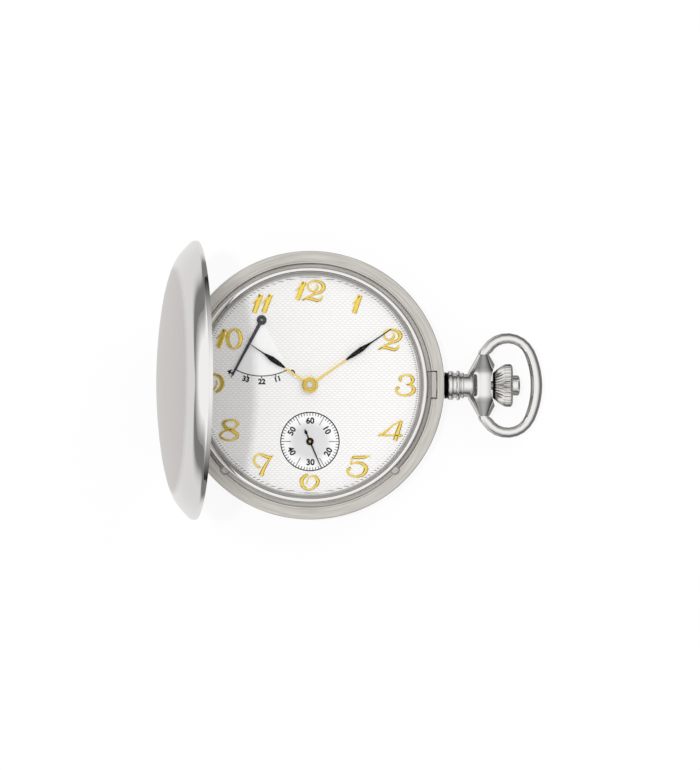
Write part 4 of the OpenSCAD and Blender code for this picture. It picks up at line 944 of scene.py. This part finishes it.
def tick_tree():
    """A ring of printed ticks: a flat bar repeated round a centre at an even step."""
    tree = bpy.data.node_groups.new("ring_of_ticks", "GeometryNodeTree")
    sizes = (
        ("Count", "NodeSocketInt", 60),
        ("Step", "NodeSocketFloat", TAU / 60),
        ("First", "NodeSocketFloat", 0.0),
        ("Inner radius", "NodeSocketFloat", 5 * MM),
        ("Length", "NodeSocketFloat", 0.5 * MM),
        ("Width", "NodeSocketFloat", 0.1 * MM),
        ("Thickness", "NodeSocketFloat", INK_THICK * MM),
        ("Centre", "NodeSocketVector", (0, 0, 0)),
        ("Ink", "NodeSocketMaterial", None),
    )
    tree.interface.new_socket("Geometry", in_out="INPUT", socket_type="NodeSocketGeometry")
    for name, kind, value in sizes:
        socket = tree.interface.new_socket(name, in_out="INPUT", socket_type=kind)
        if value is not None:
            socket.default_value = value
    tree.interface.new_socket("Geometry", in_out="OUTPUT", socket_type="NodeSocketGeometry")
    given = node(tree, "NodeGroupInput")
    out = node(tree, "NodeGroupOutput")
    size = node(
        tree,
        "ShaderNodeCombineXYZ",
        {0: given.outputs["Length"], 1: given.outputs["Width"], 2: given.outputs["Thickness"]},
    )
    bar = node(tree, "GeometryNodeMeshCube", {"Size": size.outputs[0]})
    middle = node(
        tree,
        "ShaderNodeMath",
        {0: given.outputs["Length"], 1: 0.5, 2: given.outputs["Inner radius"]},
        operation="MULTIPLY_ADD",
    )
    reach = node(tree, "ShaderNodeCombineXYZ", {0: middle.outputs[0]})
    moved = node(
        tree,
        "GeometryNodeTransform",
        {"Geometry": bar.outputs[0], "Translation": reach.outputs[0]},
    )
    row = node(
        tree,
        "GeometryNodeMeshLine",
        {"Count": given.outputs["Count"], "Offset": (0, 0, 0)},
    )
    index = node(tree, "GeometryNodeInputIndex")
    angle = node(
        tree,
        "ShaderNodeMath",
        {0: index.outputs[0], 1: given.outputs["Step"], 2: given.outputs["First"]},
        operation="MULTIPLY_ADD",
    )
    turn = node(tree, "ShaderNodeCombineXYZ", {2: angle.outputs[0]})
    copies = node(
        tree,
        "GeometryNodeInstanceOnPoints",
        {"Points": row.outputs[0], "Instance": moved.outputs[0], "Rotation": turn.outputs[0]},
    )
    real = node(tree, "GeometryNodeRealizeInstances", {0: copies.outputs[0]})
    placed = node(
        tree,
        "GeometryNodeTransform",
        {"Geometry": real.outputs[0], "Translation": given.outputs["Centre"]},
    )
    inked = node(
        tree,
        "GeometryNodeSetMaterial",
        {"Geometry": placed.outputs[0], "Material": given.outputs["Ink"]},
    )
    tree.links.new(inked.outputs[0], out.inputs[0])
    return tree


TICKS = tick_tree()


def ticks(name, centre, count, step, first, inner, length, width):
    """Printed ticks: runs the tick tree once and keeps its result as a plain mesh."""
    holder = bpy.data.objects.new(name + "_tree", bpy.data.meshes.new(name + "_tree"))
    bpy.context.scene.collection.objects.link(holder)
    modifier = holder.modifiers.new("ticks", "NODES")
    modifier.node_group = TICKS
    wanted = {
        "Count": count,
        "Step": math.radians(step),
        "First": math.radians(first),
        "Inner radius": inner * MM,
        "Length": length * MM,
        "Width": width * MM,
        "Centre": [c * MM for c in centre],
        "Ink": ink,
    }
    for item in TICKS.interface.items_tree:
        if item.in_out == "INPUT" and item.name in wanted:
            modifier[item.identifier] = wanted[item.name]
    bpy.context.view_layer.update()
    seen = bpy.context.evaluated_depsgraph_get()
    mesh = bpy.data.meshes.new_from_object(holder.evaluated_get(seen))
    bpy.data.objects.remove(holder)
    mesh.name = name
    return piece(name, mesh, "case", None)


# Printed scale of the small seconds: a circle, a tick a second and six long ones
seconds_print = (SECONDS_AT.x, SECONDS_AT.y, SECONDS_FLOOR + INK_LOW + INK_THICK / 2)
ticks("seconds_ticks", seconds_print, 60, step=6, first=0, inner=4.72, length=0.6, width=0.12)
ticks("seconds_long_ticks", seconds_print, 6, step=60, first=0, inner=3.45, length=1.4, width=0.11)
turned_piece(
    "seconds_circle",
    ((5.22, 0), (5.42, 0), (5.42, RING_THICK), (5.22, RING_THICK)),
    SECONDS_AT, SECONDS_FLOOR + INK_LOW, 120, "case", ink,
)

# Printed scale of the power reserve: five ticks and an arc
reserve_print = (RESERVE_AT.x, RESERVE_AT.y, DIAL_TOP + INK_LOW + INK_THICK / 2)
reserve_first = 270 - RESERVE_HALF
ticks(
    "reserve_ticks", reserve_print, 5, step=RESERVE_HALF / 2, first=reserve_first,
    inner=RESERVE_RADIUS, length=0.45, width=0.16,
)


def printed_arc(name, centre, radius, half_width, first, sweep, z, steps=48):
    """A thin printed band along an arc, as a closed plate."""
    points = []
    faces = []
    corners = (
        (radius - half_width, z),
        (radius + half_width, z),
        (radius + half_width, z + INK_THICK),
        (radius - half_width, z + INK_THICK),
    )
    for i in range(steps + 1):
        a = math.radians(first + sweep * i / steps)
        for reach, height in corners:
            points.append((centre.x + reach * math.cos(a), centre.y + reach * math.sin(a), height))
        if i:
            for j in range(4):
                k = (j + 1) % 4
                faces.append((4 * i - 4 + j, 4 * i - 4 + k, 4 * i + k, 4 * i + j))
    faces.append((0, 1, 2, 3))
    faces.append(tuple(4 * steps + j for j in (3, 2, 1, 0)))
    return piece(name, mesh_of(points, faces, name), "case", grey_ink)


printed_arc(
    "reserve_arc", RESERVE_AT, RESERVE_RADIUS, half_width=0.1, first=reserve_first,
    sweep=2 * RESERVE_HALF, z=DIAL_TOP + INK_LOW,
)


def printed_figures(name, texts, height, z, weight):
    """Small printed figures of a plain font, each turned about its own middle."""
    points = []
    faces = []
    for text, x, y, angle in texts:
        curve = bpy.data.curves.new(name, "FONT")
        curve.body = text
        curve.align_x = "CENTER"
        curve.align_y = "CENTER"
        curve.size = height / CAPITAL
        curve.extrude = FIGURE_HALF
        curve.offset = weight
        curve.resolution_u = 4
        holder = bpy.data.objects.new(name, curve)
        bpy.context.scene.collection.objects.link(holder)
        seen = bpy.context.evaluated_depsgraph_get()
        mesh = bpy.data.meshes.new_from_object(holder.evaluated_get(seen))
        bpy.data.objects.remove(holder)
        middle = sum((v.co for v in mesh.vertices), Vector()) / len(mesh.vertices)
        middle.z = 0
        turn = Matrix.Rotation(math.radians(angle), 3, "Z")
        start = len(points)
        points += [turn @ (v.co - middle) + Vector((x, y, z)) for v in mesh.vertices]
        faces += [tuple(start + i for i in p.vertices) for p in mesh.polygons]
    return piece(name, mesh_of(points, faces, name), "case", ink)


printed_figures(
    "seconds_figures",
    [
        (
            text,
            SECONDS_AT.x + SECONDS_RING * math.sin(math.radians(turn)),
            SECONDS_AT.y + SECONDS_RING * math.cos(math.radians(turn)),
            -turn if math.cos(math.radians(turn)) > 0 else 180 - turn,
        )
        for text, turn in (("60", 0), ("10", 60), ("20", 120), ("30", 180), ("40", 240), ("50", 300))
    ],
    height=1.1,
    z=SECONDS_FLOOR + FIGURE_MIDDLE,
    weight=0.055,
)
printed_figures(
    "reserve_figures",
    [
        (
            text,
            RESERVE_AT.x + RESERVE_RING * math.sin(math.radians(turn)),
            RESERVE_AT.y - RESERVE_RING * math.cos(math.radians(turn)),
            turn,
        )
        for text, turn in (("44", -30), ("33", -15), ("22", 0), ("11", 15), ("0", 31))
    ],
    height=0.95,
    z=DIAL_TOP + FIGURE_MIDDLE,
    weight=0.06,
)


def needle(name, hand, body, start, widths):
    """The lacquered outer end of a hand, a little wider than the bare steel under it."""
    corners = [v.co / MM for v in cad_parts[hand].data.vertices]
    tip = max(corners, key=lambda c: c.x**2 + c.y**2)
    reach = math.hypot(tip.x, tip.y)
    top = max(c.z for c in corners if math.hypot(c.x, c.y) > start)
    ends = ((start / reach, widths[0]), (1.0, widths[1]))
    line = [Vector((tip.x * share, tip.y * share, width)) for share, width in ends]
    points, faces = stroke(line, top - NEEDLE_SINK, NEEDLE_THICK)
    return piece(name, mesh_of(points, faces, name), body, black_hand)


# Gilt cap on the hands' hub, with a turned groove, and the small pins of the hands
turned_piece(
    "hand_cap",
    ((0.78, 0), (1.36, 0), (1.4, 0.07), (1.36, 0.15), (1.22, 0.18), (1.14, 0.15), (1.08, 0.15),
     (1.0, 0.21), (0.84, 0.22), (0.78, 0.17)),
    HUB, CAP_FOOT, 96, "cannon_pinion", polished("gilt_cap", "#f3d25c", 0.12, 0.06),
)
turned_piece(
    "centre_pin",
    ((0.001, 0), (0.5, 0), (0.56, 0.06), (0.5, 0.12), (0.3, 0.14), (0.22, 0.1), (0.001, 0.1)),
    HUB, CENTRE_PIN_FOOT, 48, "centre_wheel",
    polished("polished_steel_pin", "#e4e4e6", 0.08, 0.05),
)
turned_piece(
    "seconds_pin",
    ((0.001, 0), (0.24, 0), (0.24, 0.08), (0.18, 0.14), (0.001, 0.16)),
    SECONDS_AT, SMALL_PIN_FOOT, 40, "fourth_wheel", gilt_brass,
)
needle("minute_needle", "minute_hand", "cannon_pinion", start=12.6, widths=(0.3, 0.16))
needle("hour_needle", "hour_hand", "hour_wheel", start=9.4, widths=(0.3, 0.14))
turned_piece(
    "reserve_pin",
    ((0.001, 0), (0.3, 0), (0.3, 0.08), (0.22, 0.13), (0.001, 0.14)),
    RESERVE_AT, SMALL_PIN_FOOT, 40, "power_reserve",
    polished("steel_pin", "#8b8c8e", 0.15, 0.05),
)

# The floor under the watch, white as a studio sweep, with the watch's soft shadow on it:
# half its width and its depth under the watch, in metres
FLOOR = 3.0
FLOOR_DROP = 0.00002
floor_mesh = bpy.data.meshes.new("floor")
floor_mesh.from_pydata(
    [(-FLOOR, -FLOOR, 0), (FLOOR, -FLOOR, 0), (FLOOR, FLOOR, 0), (-FLOOR, FLOOR, 0)],
    [],
    [(0, 1, 2, 3)],
)
floor = bpy.data.objects.new("floor", floor_mesh)
floor.location.z = -FLOOR_DROP
bpy.context.scene.collection.objects.link(floor)

# The studio that mirrors see: white overhead and dark at the horizon. On the lid's side the
# horizon is lighter, and the white starts lower.
WALL_DARK = 0.02
WALL_LIGHT = 0.35
SKY_TOP = 0.97
SKY_TOP_LID = 0.16
SKY_CURVE = 1.35
LID_SIDE = (-0.4, -0.9)
# The floor as mirrors see it is a painted reflection, an emission rather than lit paper: its
# brightness, the distances in millimetres where it fades out towards each end, and how bright it is
# beyond them. The fade to the right, under the pendant and bow, is painted shade from the watch.
PAINTED_REFLECTION_WHITE = 0.82
PAINTED_SHADE_RIGHT = (20, 33)
PAINTED_FADE_LEFT = (-25, -60)
PAINTED_FADE_ENDS = (70, 150)
PAINTED_DARK_BEYOND = 0.28
BEYOND_LID = 0.93
# How bright the room is for matt surfaces, and the share of its own light that the paper gives
ROOM_LIGHT = 0.74
PAPER_GLOW = 0.88


def studio(tree, direction):
    """How bright a mirror sees the studio in a direction above the table."""
    split = node(tree, "ShaderNodeSeparateXYZ", {0: direction})
    to_lid = node(
        tree,
        "ShaderNodeMapRange",
        {"Value": split.outputs[0], 1: LID_SIDE[0], 2: LID_SIDE[1]},
        interpolation_type="SMOOTHSTEP",
    )
    level = node(
        tree, "ShaderNodeMapRange", {"Value": to_lid.outputs[0], 3: WALL_DARK, 4: WALL_LIGHT}
    )
    top = node(
        tree, "ShaderNodeMapRange", {"Value": to_lid.outputs[0], 3: SKY_TOP, 4: SKY_TOP_LID}
    )
    height = node(
        tree, "ShaderNodeMapRange", {"Value": split.outputs[2], 1: 0.0, 2: top.outputs[0]}
    )
    curve = node(tree, "ShaderNodeMath", {0: height.outputs[0], 1: SKY_CURVE}, operation="POWER")
    seen = node(
        tree, "ShaderNodeMapRange", {"Value": curve.outputs[0], 3: level.outputs[0], 4: 1.0}
    )
    return seen.outputs[0]


def ray_kinds(tree):
    """Two switches: one for rays that see the backdrop straight or through glass, one for mirrors."""
    rays = node(tree, "ShaderNodeLightPath")
    straight = node(
        tree,
        "ShaderNodeMath",
        {0: rays.outputs["Is Camera Ray"], 1: rays.outputs["Is Transmission Ray"]},
        operation="MAXIMUM",
    )
    return straight.outputs[0], rays.outputs["Is Glossy Ray"]


# Matt paper: plain white, with a soft shadow on it
paper, paper_tree, paper_shader, paper_place = finish("matt_paper", "#fafafa", 0, 0.9)
straight, glossy = ray_kinds(paper_tree)
spot = node(paper_tree, "ShaderNodeSeparateXYZ", {0: paper_place})
off_middle = node(paper_tree, "ShaderNodeMath", {0: spot.outputs[1]}, operation="ABSOLUTE")
# Painted reflection: the level that mirrors see on the floor, faded by position, with painted shade to
# the right
painted_reflection_level = PAINTED_REFLECTION_WHITE
for distance, ends, beyond in (
    (spot.outputs[0], PAINTED_SHADE_RIGHT, PAINTED_DARK_BEYOND),
    (spot.outputs[0], PAINTED_FADE_LEFT, BEYOND_LID),
    (off_middle.outputs[0], PAINTED_FADE_ENDS, PAINTED_DARK_BEYOND),
):
    fade = node(
        paper_tree,
        "ShaderNodeMapRange",
        {"Value": distance, 1: ends[0], 2: ends[1], 3: 1.0, 4: beyond},
        interpolation_type="SMOOTHSTEP",
    )
    faded = node(paper_tree, "ShaderNodeMath", {0: fade.outputs[0], 1: painted_reflection_level}, operation="MULTIPLY")
    painted_reflection_level = faded.outputs[0]
share = node(paper_tree, "ShaderNodeMath", {0: straight, 1: PAPER_GLOW}, operation="MULTIPLY")
own_light = node(
    paper_tree, "ShaderNodeMath", {0: share.outputs[0], 1: glossy}, operation="MAXIMUM"
)
white = node(paper_tree, "ShaderNodeEmission", {"Color": (1, 1, 1, 1), "Strength": 1.0})
# Painted reflection: for mirror rays the floor glows at this level
painted_floor_reflection = node(paper_tree, "ShaderNodeEmission", {"Color": (1, 1, 1, 1), "Strength": painted_reflection_level})
sheet = node(
    paper_tree, "ShaderNodeMixShader", {0: glossy, 1: white.outputs[0], 2: painted_floor_reflection.outputs[0]}
)
backdrop = node(
    paper_tree,
    "ShaderNodeMixShader",
    {0: own_light.outputs[0], 1: paper_shader.outputs[0], 2: sheet.outputs[0]},
)
paper_tree.links.new(backdrop.outputs[0], paper_tree.nodes["Material Output"].inputs["Surface"])
floor_mesh.materials.append(paper)

world = bpy.data.worlds.new("studio")
bpy.context.scene.world = world
world.use_nodes = True
sky = world.node_tree
straight, glossy = ray_kinds(sky)
around = node(sky, "ShaderNodeTexCoord")
plain = node(sky, "ShaderNodeMapRange", {"Value": straight, 3: ROOM_LIGHT, 4: 1.0})
level = node(
    sky,
    "ShaderNodeMix",
    {0: glossy, 2: plain.outputs[0], 3: studio(sky, around.outputs["Generated"])},
)
sky.links.new(level.outputs[0], sky.nodes["Background"].inputs["Strength"])
sky.nodes["Background"].inputs["Color"].default_value = (1, 1, 1, 1)

# The camera looks almost straight down, from this place towards that one, in millimetres
CAMERA = Vector((12.5, -22, 622))
AIM = Vector((7.3, 0, 8))
LENS = 157.6
SENSOR = 36


def lamp(name, place, aim, power, size):
    """A square lamp that shines from one place towards another, in metres and watts."""
    light = bpy.data.lights.new(name, "AREA")
    light.energy = power
    light.size = size
    made = bpy.data.objects.new(name, light)
    made.location = place
    made.rotation_euler = (Vector(aim) - Vector(place)).to_track_quat("-Z", "Y").to_euler()
    bpy.context.scene.collection.objects.link(made)
    made.visible_glossy = False
    made.visible_transmission = False
    return made


# The key stands a little to the lid's side, so the open lid shades the dial's left edge
lamp("key", place=(-0.18, 0, 1.5), aim=(0, 0, 0.008), power=6.4, size=0.05)
lamp("fill", place=(0.5, 0.5, 0.9), aim=(0, 0, 0), power=2.0, size=0.6)

camera_data = bpy.data.cameras.new("camera")
camera = bpy.data.objects.new("camera", camera_data)
bpy.context.scene.collection.objects.link(camera)
camera.location = CAMERA * MM
back = (CAMERA - AIM).normalized()
right = Vector((0, 1, 0)).cross(back).normalized()
camera.rotation_euler = Matrix((right, back.cross(right), back)).transposed().to_euler()
camera_data.sensor_width = SENSOR
camera_data.lens = LENS
camera_data.clip_start = 0.01
bpy.context.scene.camera = camera
bpy.context.scene.view_settings.view_transform = "Standard"
